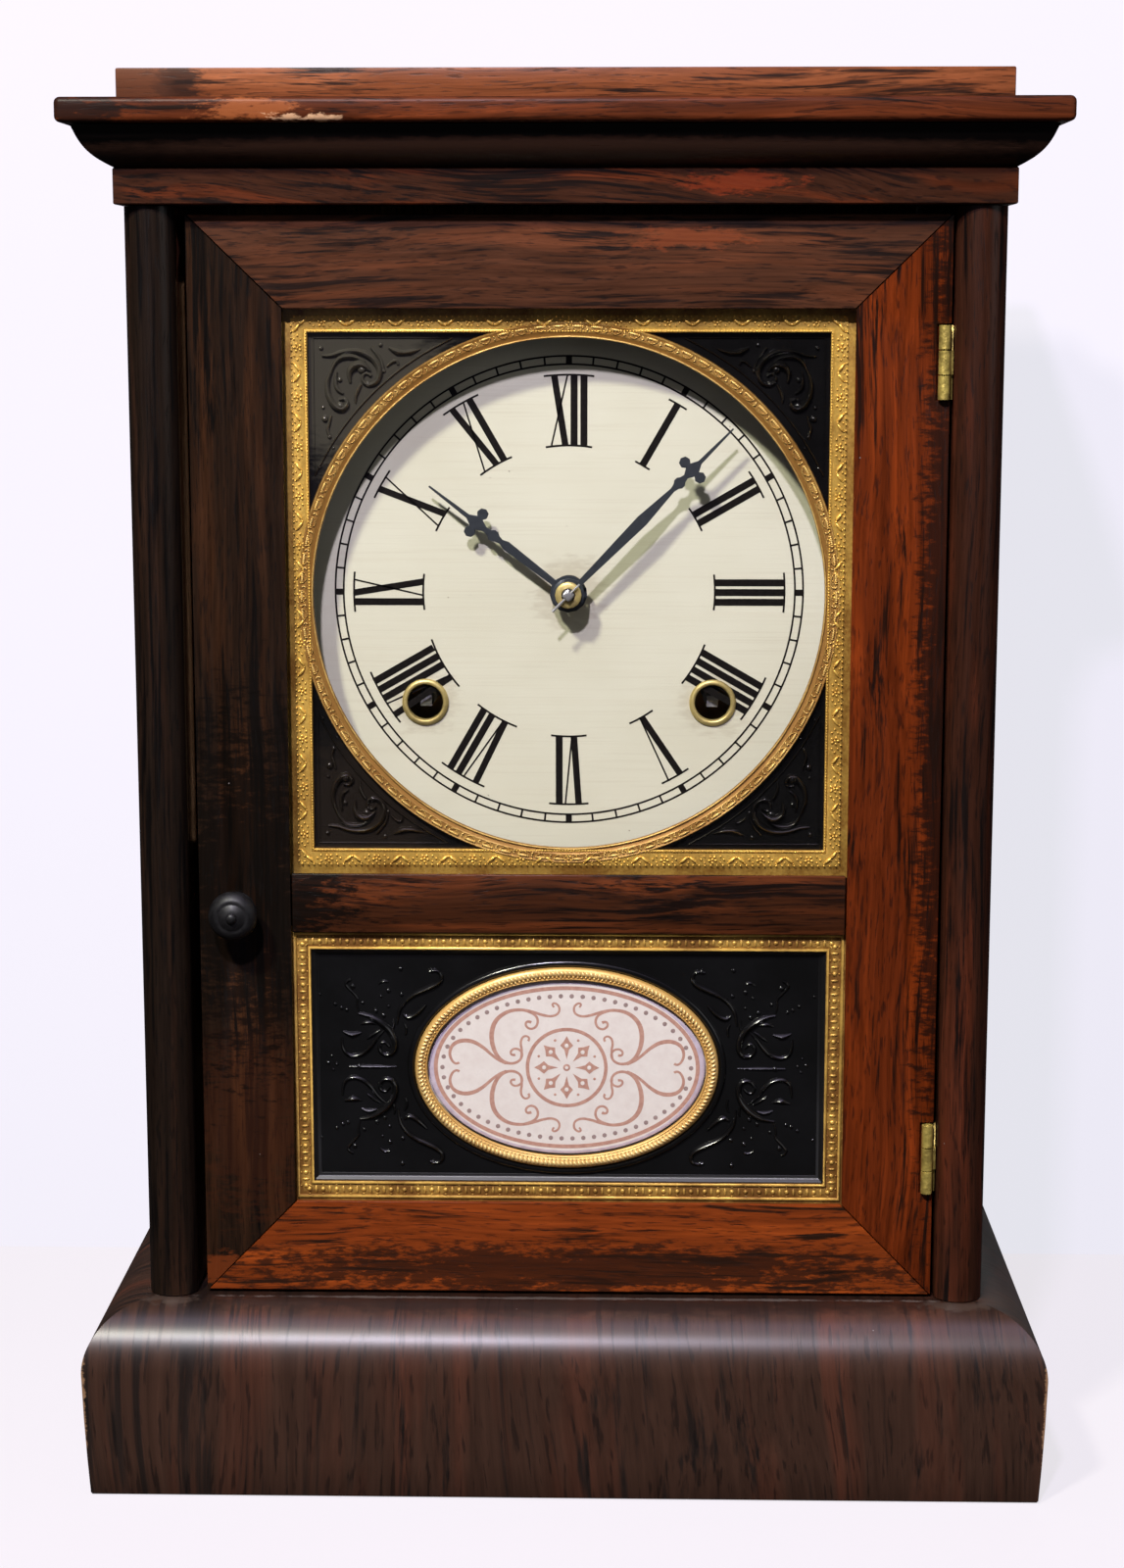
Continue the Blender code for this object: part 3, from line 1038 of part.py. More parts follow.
def make_second_wheel(name, centre, teeth, phase, pinion_phase):
    """An arbor between the plates with a wheel and a pinion that meets a great wheel."""
    front = FRONT_PLATE_SETBACK + SEAT
    inner_front = FRONT_PLATE_SETBACK + PLATE_THICKNESS + SEAT
    inner_back = BACK_PLATE_SETBACK - SEAT
    sections = stepped((front, inner_front, PIVOT_RADIUS), (inner_front, inner_back, ARBOR_RADIUS),
                       (inner_back, BACK_PLATE_SETBACK + PLATE_THICKNESS, PIVOT_RADIUS))
    shaft = arbor(name, centre, sections, BRASS)
    outline = gear_outline(centre, teeth, SECOND_MODULE, phase)
    y_range = (depth(SECOND_LAYER), depth(SECOND_LAYER + WHEEL_THICKNESS))
    join(shaft, flat_piece(name + "_rim", [outline], y_range, cutter=True))
    pinion_front = GREAT_LAYER + WHEEL_THICKNESS / 2 - PINION_LENGTH / 2
    outline = gear_outline(centre, SECOND_PINION_TEETH, GREAT_MODULE, pinion_phase)
    y_range = (depth(pinion_front), depth(pinion_front + PINION_LENGTH))
    join(shaft, flat_piece(name + "_pinion", [outline], y_range, cutter=True))
    return shaft


def make_trains():
    """Winding arbors, great wheels and second wheels of the going and striking sides."""
    centre_phase = 0.0
    second_phase = mesh_phase(CENTRE, SECOND_ARBOR, CENTRE_PINION_TEETH, SECOND_TEETH, centre_phase)
    pinion_phase = 0.0
    great_phase = mesh_phase(SECOND_ARBOR, TIME_ARBOR, SECOND_PINION_TEETH, GREAT_TEETH, pinion_phase)
    make_barrel("time", TIME_ARBOR, great_phase)
    make_second_wheel("time_second_wheel", SECOND_ARBOR, SECOND_TEETH, second_phase, pinion_phase)
    great_phase = mesh_phase(PIN_ARBOR, STRIKE_ARBOR, SECOND_PINION_TEETH, GREAT_TEETH, pinion_phase)
    make_barrel("strike", STRIKE_ARBOR, great_phase)
    shaft = make_second_wheel("strike_pin_wheel", PIN_ARBOR, STRIKE_PIN_TEETH, 0.0, pinion_phase)
    reach = SECOND_MODULE * STRIKE_PIN_TEETH / 2 - 3.0 * MM
    pin_y = (depth(SECOND_LAYER + 0.5 * WHEEL_THICKNESS), depth(SECOND_LAYER + WHEEL_THICKNESS + 3.0 * MM))
    for index in range(STRIKE_PIN_COUNT):
        turn = 2 * math.pi * (index + 0.5) / STRIKE_PIN_COUNT
        centre = (PIN_ARBOR[0] + reach * math.cos(turn), PIN_ARBOR[1] + reach * math.sin(turn))
        join(shaft, rod(f"lifting_pin_{index}", centre, STRIKE_PIN_RADIUS, pin_y, sides=8))


def make_motion_work():
    """Centre arbor with its two pinions, the minute wheel on its stud, and the hour wheel with its pipe."""
    inner_back = BACK_PLATE_SETBACK - SEAT
    tip = CENTRE_ARBOR_TIP
    sections = [(tip, 0.5 * CENTRE_ARBOR_RADIUS), (tip + 0.6 * MM, CENTRE_ARBOR_RADIUS)]
    sections += stepped((tip + 0.7 * MM, inner_back, CENTRE_ARBOR_RADIUS),
                        (inner_back, BACK_PLATE_SETBACK + PLATE_THICKNESS, PIVOT_RADIUS))
    shaft = arbor("centre_arbor", CENTRE, sections, STEEL, steps=16)
    pinion_front = SECOND_LAYER + WHEEL_THICKNESS / 2 - PINION_LENGTH / 2
    outline = gear_outline(CENTRE, CENTRE_PINION_TEETH, SECOND_MODULE)
    y_range = (depth(pinion_front), depth(pinion_front + PINION_LENGTH))
    join(shaft, flat_piece("centre_pinion", [outline], y_range, cutter=True))
    cannon = gear_outline(CENTRE, CANNON_TEETH, CANNON_MODULE)
    y_range = (depth(CANNON_LAYER), depth(CANNON_LAYER + 1.8 * MM))
    join(shaft, flat_piece("cannon_pinion", [cannon], y_range, cutter=True))
    hole = TAPER_PIN_RADIUS + SEAT
    cutter = bar("taper_pin_hole", (hole, hole), TAPER_PIN_LENGTH, taper_pin_world(), sides=10, cutter=True)
    cut(shaft, cutter)
    phase = mesh_phase(CENTRE, MOTION_STUD, CANNON_TEETH, MINUTE_WHEEL_TEETH, 0.0)
    bore = pivot_hole(MOTION_STUD, PIVOT_RADIUS + RUNNING)
    outline = gear_outline(MOTION_STUD, MINUTE_WHEEL_TEETH, CANNON_MODULE, phase)
    y_range = (depth(CANNON_LAYER + 0.2 * MM), depth(CANNON_LAYER + 1.4 * MM))
    minute = flat_piece("minute_wheel", [outline, bore], y_range, BRASS)
    outline = gear_outline(MOTION_STUD, MINUTE_PINION_TEETH, HOUR_MODULE, 0.0)
    y_range = (depth(HOUR_LAYER - 0.6 * MM), depth(CANNON_LAYER + 0.8 * MM))
    join(minute, flat_piece("minute_pinion", [outline, bore], y_range, cutter=True))
    phase = mesh_phase(MOTION_STUD, CENTRE, MINUTE_PINION_TEETH, HOUR_TEETH, 0.0)
    bore = circle(CENTRE, HOUR_PIPE_BORE)
    outline = gear_outline(CENTRE, HOUR_TEETH, HOUR_MODULE, phase)
    y_range = (depth(HOUR_LAYER), depth(HOUR_LAYER + 1.2 * MM))
    hour = flat_piece("hour_wheel", [outline, bore], y_range, BRASS)
    pipe_y = (depth(HOUR_HAND_SETBACK - 0.5 * MM), depth(HOUR_LAYER + 0.6 * MM))
    join(hour, flat_piece("hour_pipe", [circle(CENTRE, HOUR_PIPE_RADIUS), bore], pipe_y, cutter=True))


def make_escapement():
    """Escape wheel, and the verge with its pallets and crutch."""
    front = FRONT_PLATE_SETBACK + SEAT
    inner_front = FRONT_PLATE_SETBACK + PLATE_THICKNESS + SEAT
    inner_back = BACK_PLATE_SETBACK - SEAT
    back = BACK_PLATE_SETBACK + PLATE_THICKNESS
    sections = stepped((front, inner_front, PIVOT_RADIUS), (inner_front, inner_back, ARBOR_RADIUS),
                       (inner_back, back, PIVOT_RADIUS))
    shaft = arbor("escape_wheel", ESCAPE_ARBOR, sections, BRASS)
    outline = []
    for index in range(ESCAPE_TEETH):
        turn = 2 * math.pi * index / ESCAPE_TEETH
        for radius, lead in ((ESCAPE_RADIUS, 0.0), (0.86 * ESCAPE_RADIUS, 0.03)):
            angle = turn + lead
            point = (ESCAPE_ARBOR[0] + radius * math.cos(angle), ESCAPE_ARBOR[1] + radius * math.sin(angle))
            outline.append(point)
    y_range = (depth(ESCAPE_LAYER), depth(ESCAPE_LAYER + 1.0 * MM))
    join(shaft, flat_piece("escape_rim", [outline], y_range, cutter=True))
    crutch_front = PENDULUM_SETBACK + SUSPENSION_WIDTH / 2 + SEAT
    sections = stepped((crutch_front, inner_back, ARBOR_RADIUS), (inner_back, back, PIVOT_RADIUS))
    verge = arbor("verge", VERGE_ARBOR, sections, STEEL)
    x, z = VERGE_ARBOR
    span = 8.2 * MM
    tip_z = ESCAPE_Z + math.sqrt((ESCAPE_RADIUS + 0.6 * MM) ** 2 - (span - 1.6 * MM) ** 2) + 0.4 * MM
    strip = 1.3 * MM
    half = [(span, tip_z), (span - strip, tip_z), (0.55 * span, z - 6.5 * MM), (0.0, z - 2.6 * MM)]
    outline = [(x + aside, height) for aside, height in half]
    outline += [(x - aside, height) for aside, height in reversed(half[:-1])]
    outline += [(x - 0.62 * span, z - 3.6 * MM), (x, z + 0.6 * MM), (x + 0.62 * span, z - 3.6 * MM)]
    y_range = (depth(ESCAPE_LAYER - 0.6 * MM), depth(ESCAPE_LAYER + 1.8 * MM))
    join(verge, flat_piece("pallets", [outline], y_range, cutter=True))
    half = 0.6 * MM
    fork = PENDULUM_ROD_RADIUS + SEAT
    prong = 1.0 * MM
    low = z - CRUTCH_LENGTH
    crutch_y = (depth(crutch_front + 1.0 * MM), depth(crutch_front + 2.0 * MM))
    join(verge, box("crutch", (x - half, x + half), crutch_y, (low, z), cutter=True))
    fork_y = (depth(PENDULUM_SETBACK - PENDULUM_ROD_RADIUS), crutch_y[1])
    for label, sign in (("left", -1), ("right", 1)):
        x_range = tuple(sorted((x + sign * fork, x + sign * (fork + prong))))
        join(verge, box("fork_" + label, x_range, fork_y, (low, low + prong), cutter=True))
    bridge_x = (x - fork - prong, x + fork + prong)
    join(verge, box("fork_bridge", bridge_x, crutch_y, (low, low + prong), cutter=True))


def make_pendulum():
    """Suspension strip and rod in one, hung from the cock, and the brass bob on the rod's end."""
    x, z = VERGE_ARBOR
    y = depth(PENDULUM_SETBACK)
    bottom = z - PENDULUM_LENGTH - BOB_RADIUS - 4.0 * MM
    bar = post("pendulum_rod", (x, y), PENDULUM_ROD_RADIUS, (bottom, z), STEEL, 10, cutter=False)
    half = SUSPENSION_WIDTH / 2
    strip = box("suspension_spring", (x - 0.3 * MM, x + 0.3 * MM), (y - half, y + half),
                (z - MM, z + SUSPENSION_LENGTH), cutter=True)
    join(bar, strip)
    bob_z = z - PENDULUM_LENGTH
    half = BOB_THICKNESS / 2
    profile = [(0.0, half)]
    for step in range(1, 5):
        turn = math.radians(90.0 * step / 5)
        profile.append((BOB_RADIUS * math.sin(turn), half * math.cos(turn)))
    profile += [(BOB_RADIUS, 0.0)]
    profile += [(radius, -height) for radius, height in reversed(profile[:-1])]
    bob = turned("pendulum_bob", profile, facing_y((x, bob_z), depth(PENDULUM_SETBACK)), BRASS, steps=24)
    bore = PENDULUM_ROD_RADIUS + SEAT
    tall = BOB_RADIUS + MM
    cut(bob, post("bob_bore", (x, y), bore, (bob_z - tall, bob_z + tall), sides=12))


def make_strike():
    """Hammer on its arbor, the coiled gong and the iron block that holds its inner end."""
    centre = (GONG_CENTRE_X, GONG_CENTRE_Z)
    front = FRONT_PLATE_SETBACK + SEAT
    inner_front = FRONT_PLATE_SETBACK + PLATE_THICKNESS + SEAT
    rod_back = HAMMER_SETBACK + HAMMER_ROD_RADIUS
    sections = stepped((front, inner_front, PIVOT_RADIUS), (inner_front, rod_back, ARBOR_RADIUS))
    hammer = arbor("strike_hammer", HAMMER_ARBOR, sections, STEEL)
    head_x = centre[0] - GONG_OUTER_RADIUS - GONG_WIRE_RADIUS - HAMMER_GAP - HAMMER_HEAD_LENGTH / 2
    head_z = centre[1] + 4.0 * MM
    y = depth(HAMMER_SETBACK)
    top = Vector((HAMMER_X, y, HAMMER_Z))
    foot = Vector((head_x, y, head_z))
    line = foot - top
    turn = line.to_track_quat("Z", "Y").to_matrix().to_4x4()
    middle = Matrix.Translation((top + foot) / 2)
    radii = (HAMMER_ROD_RADIUS, HAMMER_ROD_RADIUS)
    join(hammer, bar("hammer_rod", radii, line.length, middle @ turn, None, 10, cutter=True))
    radii = (HAMMER_HEAD_RADIUS, HAMMER_HEAD_RADIUS)
    world = Matrix.Translation(foot) @ Matrix.Rotation(math.pi / 2, 4, "Y")
    join(hammer, bar("hammer_head", radii, HAMMER_HEAD_LENGTH, world, None, 16, cutter=True))
    pin_reach = SECOND_MODULE * STRIKE_PIN_TEETH / 2 - 3.0 * MM + STRIKE_PIN_RADIUS + 2 * RUNNING
    tail_turn = math.atan2(PIN_ARBOR[1] - HAMMER_Z, PIN_ARBOR[0] - HAMMER_X)
    tail_length = math.dist(PIN_ARBOR, HAMMER_ARBOR) - pin_reach
    tail_layer = depth(SECOND_LAYER + WHEEL_THICKNESS + 2.0 * MM)
    tail = []
    foot_half = 0.8 * MM
    tip_half = 0.5 * MM
    corners = ((0.0, -foot_half), (tail_length, -tip_half), (tail_length, tip_half), (0.0, foot_half))
    for along, aside in corners:
        x = HAMMER_X + along * math.cos(tail_turn) - aside * math.sin(tail_turn)
        tail.append((x, HAMMER_Z + along * math.sin(tail_turn) + aside * math.cos(tail_turn)))
    join(hammer, flat_piece("hammer_tail", [tail], (tail_layer, tail_layer + 1.2 * MM), cutter=True))
    make_gong(centre)


def make_gong(centre):
    """Three turns of round wire that wind outwards from the block's side."""
    y = depth(GONG_SETBACK)
    profile = [(0.0, 0.0), (0.7 * GONG_BLOCK_RADIUS, 0.0), (0.8 * GONG_BLOCK_RADIUS, -1.5 * MM)]
    wall = BACK_SETBACK - SEAT
    block_front = GONG_SETBACK - 4.0 * MM
    profile += [(0.8 * GONG_BLOCK_RADIUS, block_front - wall + 3.0 * MM)]
    profile += [(GONG_BLOCK_RADIUS, block_front - wall + 3.0 * MM), (GONG_BLOCK_RADIUS, block_front - wall)]
    profile += [(0.0, block_front - wall)]
    world = facing_y(centre, depth(block_front))
    turned("gong_block", profile, world, IRON, steps=20)
    points_per_turn = 24
    total = GONG_TURNS * points_per_turn
    curve = bpy.data.curves.new("gong", "CURVE")
    curve.dimensions = "3D"
    curve.bevel_depth = GONG_WIRE_RADIUS
    curve.bevel_resolution = 1
    curve.use_fill_caps = True
    spline = curve.splines.new("POLY")
    spline.points.add(total)
    for index in range(total + 1):
        turn = 2 * math.pi * index / points_per_turn
        radius = GONG_OUTER_RADIUS - GONG_PITCH * (GONG_TURNS - index / points_per_turn)
        x = centre[0] + radius * math.cos(turn)
        z = centre[1] + radius * math.sin(turn)
        spline.points[index].co = (x, y, z, 1.0)
    start = 0.8 * GONG_BLOCK_RADIUS + SEAT
    spline.points[0].co = (centre[0] + start, y, centre[1], 1.0)
    item = bpy.data.objects.new("gong", curve)
    curve.materials.append(STEEL)
    PARTS.objects.link(item)
    print("gong: least gap between turns", round((GONG_PITCH - 2 * GONG_WIRE_RADIUS) / MM, 2), "mm")


def build_clock():
    """Makes every piece of the clock."""
    wrap_moulding("base", base_profile(), 0.0, ROSEWOOD)
    wrap_moulding("cornice", cornice_profile(), FRIEZE_BOTTOM, DARK_WOOD)
    sides = make_case_boards()
    make_slab_and_block()
    make_columns()
    stile_left, stile_right = make_door_frame()
    make_upper_fillings()
    make_lower_fillings()
    make_latch(stile_left, sides["left"])
    make_hinge("upper", HINGE_UPPER_Z, stile_right)
    make_hinge("lower", HINGE_LOWER_Z, stile_right)
    make_dial()
    make_hands()
    make_movement_frame()
    make_trains()
    make_motion_work()
    make_escapement()
    make_pendulum()
    make_strike()


build_clock()
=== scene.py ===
# %% [markdown]
# # A cottage clock
# The clock is a small rosewood case with half-round columns, a glazed door, a gilt ring round a cream
# dial, and a striking movement inside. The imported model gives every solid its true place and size, and
# this lesson gives it the looks: veneer, gilding, lacquer, paint, ornament, light and the camera.

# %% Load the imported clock
import json
import math

import bmesh
import bpy
from mathutils import Matrix, Vector


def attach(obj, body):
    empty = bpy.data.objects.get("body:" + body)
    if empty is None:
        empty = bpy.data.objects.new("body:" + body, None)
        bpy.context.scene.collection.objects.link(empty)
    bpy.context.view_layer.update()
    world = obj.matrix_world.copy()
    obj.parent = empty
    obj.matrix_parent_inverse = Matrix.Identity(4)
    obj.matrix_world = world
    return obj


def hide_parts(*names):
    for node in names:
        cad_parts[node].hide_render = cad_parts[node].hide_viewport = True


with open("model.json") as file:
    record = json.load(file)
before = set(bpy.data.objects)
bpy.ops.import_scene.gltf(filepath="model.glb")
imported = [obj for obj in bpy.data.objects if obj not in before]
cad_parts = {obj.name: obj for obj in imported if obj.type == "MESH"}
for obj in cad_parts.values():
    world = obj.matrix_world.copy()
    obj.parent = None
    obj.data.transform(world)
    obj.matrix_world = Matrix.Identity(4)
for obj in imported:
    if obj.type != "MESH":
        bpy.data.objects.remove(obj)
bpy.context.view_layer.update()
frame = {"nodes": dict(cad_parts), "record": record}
NODES = frame["nodes"]
MM = 0.001
print("loaded", len(NODES), "CAD nodes")

# %% [markdown]
# ## Helpers for shapes
# Every new piece is drawn in millimetres at its true place, and is turned into metres at the end. Depths
# are counted from the case front, as a cabinet maker would measure them, and depth() turns them into Y.


# %% Making a piece
def depth(setback):
    """Y, in millimetres, of a plane this far behind the case front."""
    return setback - 46.525


def new_object(name, shape):
    """An object made from a shape, in the scene."""
    mesh = bpy.data.meshes.new(name)
    shape.to_mesh(mesh)
    shape.free()
    piece = bpy.data.objects.new(name, mesh)
    bpy.context.scene.collection.objects.link(piece)
    return piece, mesh


def add_piece(name, shape, looks, body, stands_for="", soft=35.0):
    """Makes a piece from a shape in millimetres. Edges flatter than the soft angle shade smoothly."""
    bmesh.ops.remove_doubles(shape, verts=shape.verts[:], dist=0.001)
    bmesh.ops.recalc_face_normals(shape, faces=shape.faces[:])
    bmesh.ops.scale(shape, verts=shape.verts[:], vec=(MM, MM, MM))
    piece, mesh = new_object(name, shape)
    for look in looks:
        mesh.materials.append(look)
    mesh.shade_smooth()
    mesh.set_sharp_from_angle(angle=math.radians(soft))
    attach(piece, body)
    if stands_for:
        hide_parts(stands_for)


print("pieces are made in millimetres")

# %% [markdown]
# Most of the wooden pieces start from a flat section that is stretched, or from a copy of their CAD
# node. They are cut with a plane and their sharp edges are rounded, as they would be at the bench.


# %% Stretching, cutting and softening
def saw(shape, point, away):
    """Cuts off what lies beyond a plane, and closes the cut."""
    everything = shape.verts[:] + shape.edges[:] + shape.faces[:]
    bmesh.ops.bisect_plane(shape, geom=everything, plane_co=point, plane_no=away, clear_outer=True)
    bmesh.ops.holes_fill(shape, edges=shape.edges[:], sides=0)


def stretched(shape, section, along):
    """Draws a closed section of 3-D points and extrudes it along a vector."""
    face = shape.faces.new([shape.verts.new(point) for point in section])
    grown = bmesh.ops.extrude_face_region(shape, geom=[face])["geom"]
    moved = [item for item in grown if isinstance(item, bmesh.types.BMVert)]
    bmesh.ops.translate(shape, verts=moved, vec=along)
    bmesh.ops.holes_fill(shape, edges=shape.edges[:], sides=0)
    return shape


def soften(shape, width, steps=2, sharp=30.0, skip=None):
    """Rounds every edge sharper than an angle, apart from those that skip() names."""
    edges = []
    for edge in shape.edges:
        if len(edge.link_faces) == 2 and edge.calc_face_angle() > math.radians(sharp):
            if skip is None or not skip(edge):
                edges.append(edge)
    bmesh.ops.bevel(
        shape, geom=edges, offset=width, offset_type="OFFSET", segments=steps,
        profile=0.5, affect="EDGES", clamp_overlap=True, material=-1,
    )
    return shape


def cad_copy(node):
    """A merged copy of a CAD node's mesh, in millimetres."""
    shape = bmesh.new()
    shape.from_mesh(NODES[node].data)
    bmesh.ops.scale(shape, verts=shape.verts[:], vec=(1000, 1000, 1000))
    bmesh.ops.remove_doubles(shape, verts=shape.verts[:], dist=0.002)
    bmesh.ops.dissolve_limit(
        shape, angle_limit=math.radians(0.5), verts=shape.verts[:], edges=shape.edges[:]
    )
    bmesh.ops.recalc_face_normals(shape, faces=shape.faces[:])
    return shape


print("shapes can be stretched, cut and softened")

# %% [markdown]
# ## Helpers for looks
# A colour is written as it would be read from the photo, 0 to 255, and turned into scene light values.
# Each shared effect is a node group with named inputs and outputs, made once and used by many materials.


# %% Colours and nodes
def rgb(red, green, blue):
    """Scene colour of a screen colour."""
    parts = []
    for value in (red, green, blue):
        share = value / 255
        parts.append(share / 12.92 if share <= 0.04045 else ((share + 0.055) / 1.055) ** 2.4)
    return (*parts, 1.0)


class Out:
    """What a node gives. A sum or product with numbers or other results adds the maths node it needs."""

    def __init__(self, socket):
        self.socket = socket

    def __add__(self, other):
        return maths("ADD", self, other)

    def __sub__(self, other):
        return maths("SUBTRACT", self, other)

    def __rsub__(self, other):
        return maths("SUBTRACT", other, self)

    def __mul__(self, other):
        return maths("MULTIPLY", self, other)


def plug(value, socket):
    """Gives an input a node's result, or a plain number, vector or colour."""
    if isinstance(value, Out):
        socket.id_data.links.new(value.socket, socket)
    else:
        socket.default_value = value


def add_node(kind, inputs=None, tree=None, **settings):
    """A node in a tree, or else in the tree that its inputs come from. Gives the node's outputs."""
    inputs = inputs or {}
    if tree is None:
        tree = next(value.socket.id_data for value in inputs.values() if isinstance(value, Out))
    node = tree.nodes.new(kind)
    for label, value in settings.items():
        setattr(node, label, value)
    for label, value in inputs.items():
        plug(value, node.inputs[label])
    return node.outputs


print("nodes can be added and linked")

# %% [markdown]
# Nearly every effect here is a short sum on noise, so each kind of sum gets a name of its own.


# %% Sums, blends and noise
def maths(operation, first, second):
    """One sum on values."""
    return Out(add_node("ShaderNodeMath", {0: first, 1: second}, operation=operation)[0])


def vector_maths(operation, first, second):
    """One sum on vectors."""
    label = "Scale" if operation == "SCALE" else 1
    return Out(add_node("ShaderNodeVectorMath", {0: first, label: second}, operation=operation)[0])


def ranged(value, low, high, to_low=0.0, to_high=1.0):
    """A value clamped from one range into another."""
    return Out(add_node("ShaderNodeMapRange", {0: value, 1: low, 2: high, 3: to_low, 4: to_high})[0])


def blended(share, first, second):
    """Two colours mixed by a share."""
    return Out(add_node("ShaderNodeMix", {0: share, 6: first, 7: second}, data_type="RGBA")[2])


def noise(vector, factors, detail=2.0, roughness=0.5, distortion=0.0, output=0):
    """A noise texture, finer along each axis by its factor. Output 1 is a colour."""
    scaled = vector_maths("MULTIPLY", vector, factors)
    return Out(add_node("ShaderNodeTexNoise", {
        "Vector": scaled, "Scale": 1.0, "Detail": detail, "Roughness": roughness, "Distortion": distortion,
    })[output])


print("sums and noise are ready")

# %% [markdown]
# A pattern is placed by the object's own coordinates, so it stays on its piece when the piece moves.
# The Principled shader stays in each material, and only its patterned inputs are linked.


# %% Groups and materials
def new_group(name, inputs, outputs):
    """A node group's inputs and outputs by name. A colour has four numbers, and None is a vector."""
    tree = bpy.data.node_groups.new(name, "ShaderNodeTree")
    for label, default in inputs.items():
        kind = "Vector" if default is None else "Float" if isinstance(default, float) else "Color"
        socket = tree.interface.new_socket(label, in_out="INPUT", socket_type="NodeSocket" + kind)
        if default is not None:
            socket.default_value = default
    for label in outputs:
        kind = "Color" if label == "Color" else "Float"
        tree.interface.new_socket(label, in_out="OUTPUT", socket_type="NodeSocket" + kind)
    given = tree.nodes.new("NodeGroupInput").outputs
    return tree, {label: Out(given[label]) for label in inputs}, tree.nodes.new("NodeGroupOutput").inputs


def use_group(group, inputs):
    """A copy of a node group in a material. Gives its outputs by name."""
    made = add_node("ShaderNodeGroup", inputs, node_tree=group)
    return {socket.name: Out(socket) for socket in made}


def place_of(tree, turn=(0.0, 0.0, 0.0), size=(1.0, 1.0, 1.0)):
    """The object's own coordinates in metres, scaled along their axes and then turned."""
    source = Out(add_node("ShaderNodeTexCoord", tree=tree)["Object"])
    values = {"Vector": source, "Scale": size, "Rotation": [math.radians(a) for a in turn]}
    return Out(add_node("ShaderNodeMapping", values)[0])


def new_look(name, **values):
    """A Principled material with its plain values, and its tree and shader."""
    look = bpy.data.materials.new(name)
    look.use_nodes = True
    shader = look.node_tree.nodes["Principled BSDF"]
    for label, value in values.items():
        shader.inputs[label.replace("_", " ")].default_value = value
    return look, look.node_tree, shader


def connect(shader, colour, roughness, height, bump):
    """Links a colour, a roughness and a height, in metres, to a Principled shader."""
    plug(colour, shader.inputs["Base Color"])
    if roughness is not None:
        plug(roughness, shader.inputs["Roughness"])
    made = add_node("ShaderNodeBump", {"Height": height, "Distance": bump, "Strength": 1.0})
    plug(Out(made[0]), shader.inputs["Normal"])


print("groups and materials can be made")

# %% [markdown]
# ## Rosewood
# The case is pine under a thin rosewood veneer. Rosewood is brown to orange with long black figure and
# short dark pores along the grain. Four layers of noise, stretched along the grain, make those, and the
# grain direction is set for each piece, because a veneerer lays each sheet along its own member.


# %% The veneer group
def make_veneer_group():
    """Colour, roughness and height of a veneer whose grain runs along X."""
    tree, given, out = new_group("rosewood_veneer", {
        "Vector": None, "Seed": 0.0, "Light": rgb(150, 75, 35), "Mid": rgb(90, 45, 25),
        "Dark": rgb(30, 20, 18), "Light Share": 0.5, "Dark Share": 0.5, "Contrast": 0.35, "Wave": 1.0,
    }, ("Color", "Roughness", "Height"))
    seed = given["Seed"]
    shift = Out(add_node("ShaderNodeCombineXYZ", {0: seed, 1: seed * 1.7, 2: seed * 0.6})[0])
    moved = vector_maths("ADD", given["Vector"], shift)
    sway = vector_maths("SUBTRACT", noise(moved, (9, 25, 25), output=1), (0.5, 0.5, 0.5))
    sway = vector_maths("SCALE", vector_maths("MULTIPLY", sway, (0.0, 0.012, 0.012)), given["Wave"])
    warped = vector_maths("ADD", moved, sway)
    broad = noise(warped, (8, 130, 130), 3.0, 0.6, 0.2)
    patch = noise(warped, (22, 640, 640), 4.0, 0.62, 0.1)
    fine = noise(warped, (26, 1000, 1000), 4.0, 0.7)
    cluster = noise(moved, (14, 60, 60))
    pores = ranged(noise(warped, (170, 1700, 1700)), 0.58, 0.66)
    light_low = 0.62 - given["Light Share"] * 0.25
    dark_low = 0.88 - given["Dark Share"] * 0.25 - cluster * 0.4
    colour = blended(ranged(broad, light_low, light_low + 0.2), given["Mid"], given["Light"])
    colour = blended(ranged(patch, dark_low, dark_low + 0.1), colour, given["Dark"])
    lift = ((fine - 0.5) * (given["Contrast"] * 4.0) + 1.0) * (1.0 - pores * 0.55)
    plug(vector_maths("SCALE", colour, lift), out["Color"])
    plug(fine * 0.16 + pores * 0.12, out["Roughness"])
    plug(fine * 0.5 - pores * 0.6, out["Height"])
    return tree


VENEER = make_veneer_group()
print("node groups:", len(bpy.data.node_groups))

# %% [markdown]
# Dust lies in small scattered specks, and wear and dirt in single soft patches at places of their own.
# Some patches are painted light instead: painted shade round the knob, along a hinge edge and, with dirt,
# on the base top, and a painted highlight on the cornice moulding.
# Both are masks, which lay another colour over the veneer.


# %% Specks and spots
def make_speck_group():
    """A mask of small scattered specks, such as dust or worn spots."""
    inputs = {"Vector": None, "Cell": 0.004, "Size": 0.12, "Share": 0.2}
    tree, given, out = new_group("scattered_specks", inputs, ("Mask",))
    scale = maths("DIVIDE", 1.0, given["Cell"])
    cells = add_node("ShaderNodeTexVoronoi", {"Vector": given["Vector"], "Scale": scale})
    near = ranged(Out(cells["Distance"]), given["Size"], given["Size"] * 0.4)
    chance = Out(add_node("ShaderNodeSeparateColor", {0: Out(cells["Color"])})[0])
    plug(near * maths("LESS_THAN", chance, given["Share"]), out["Mask"])
    return tree


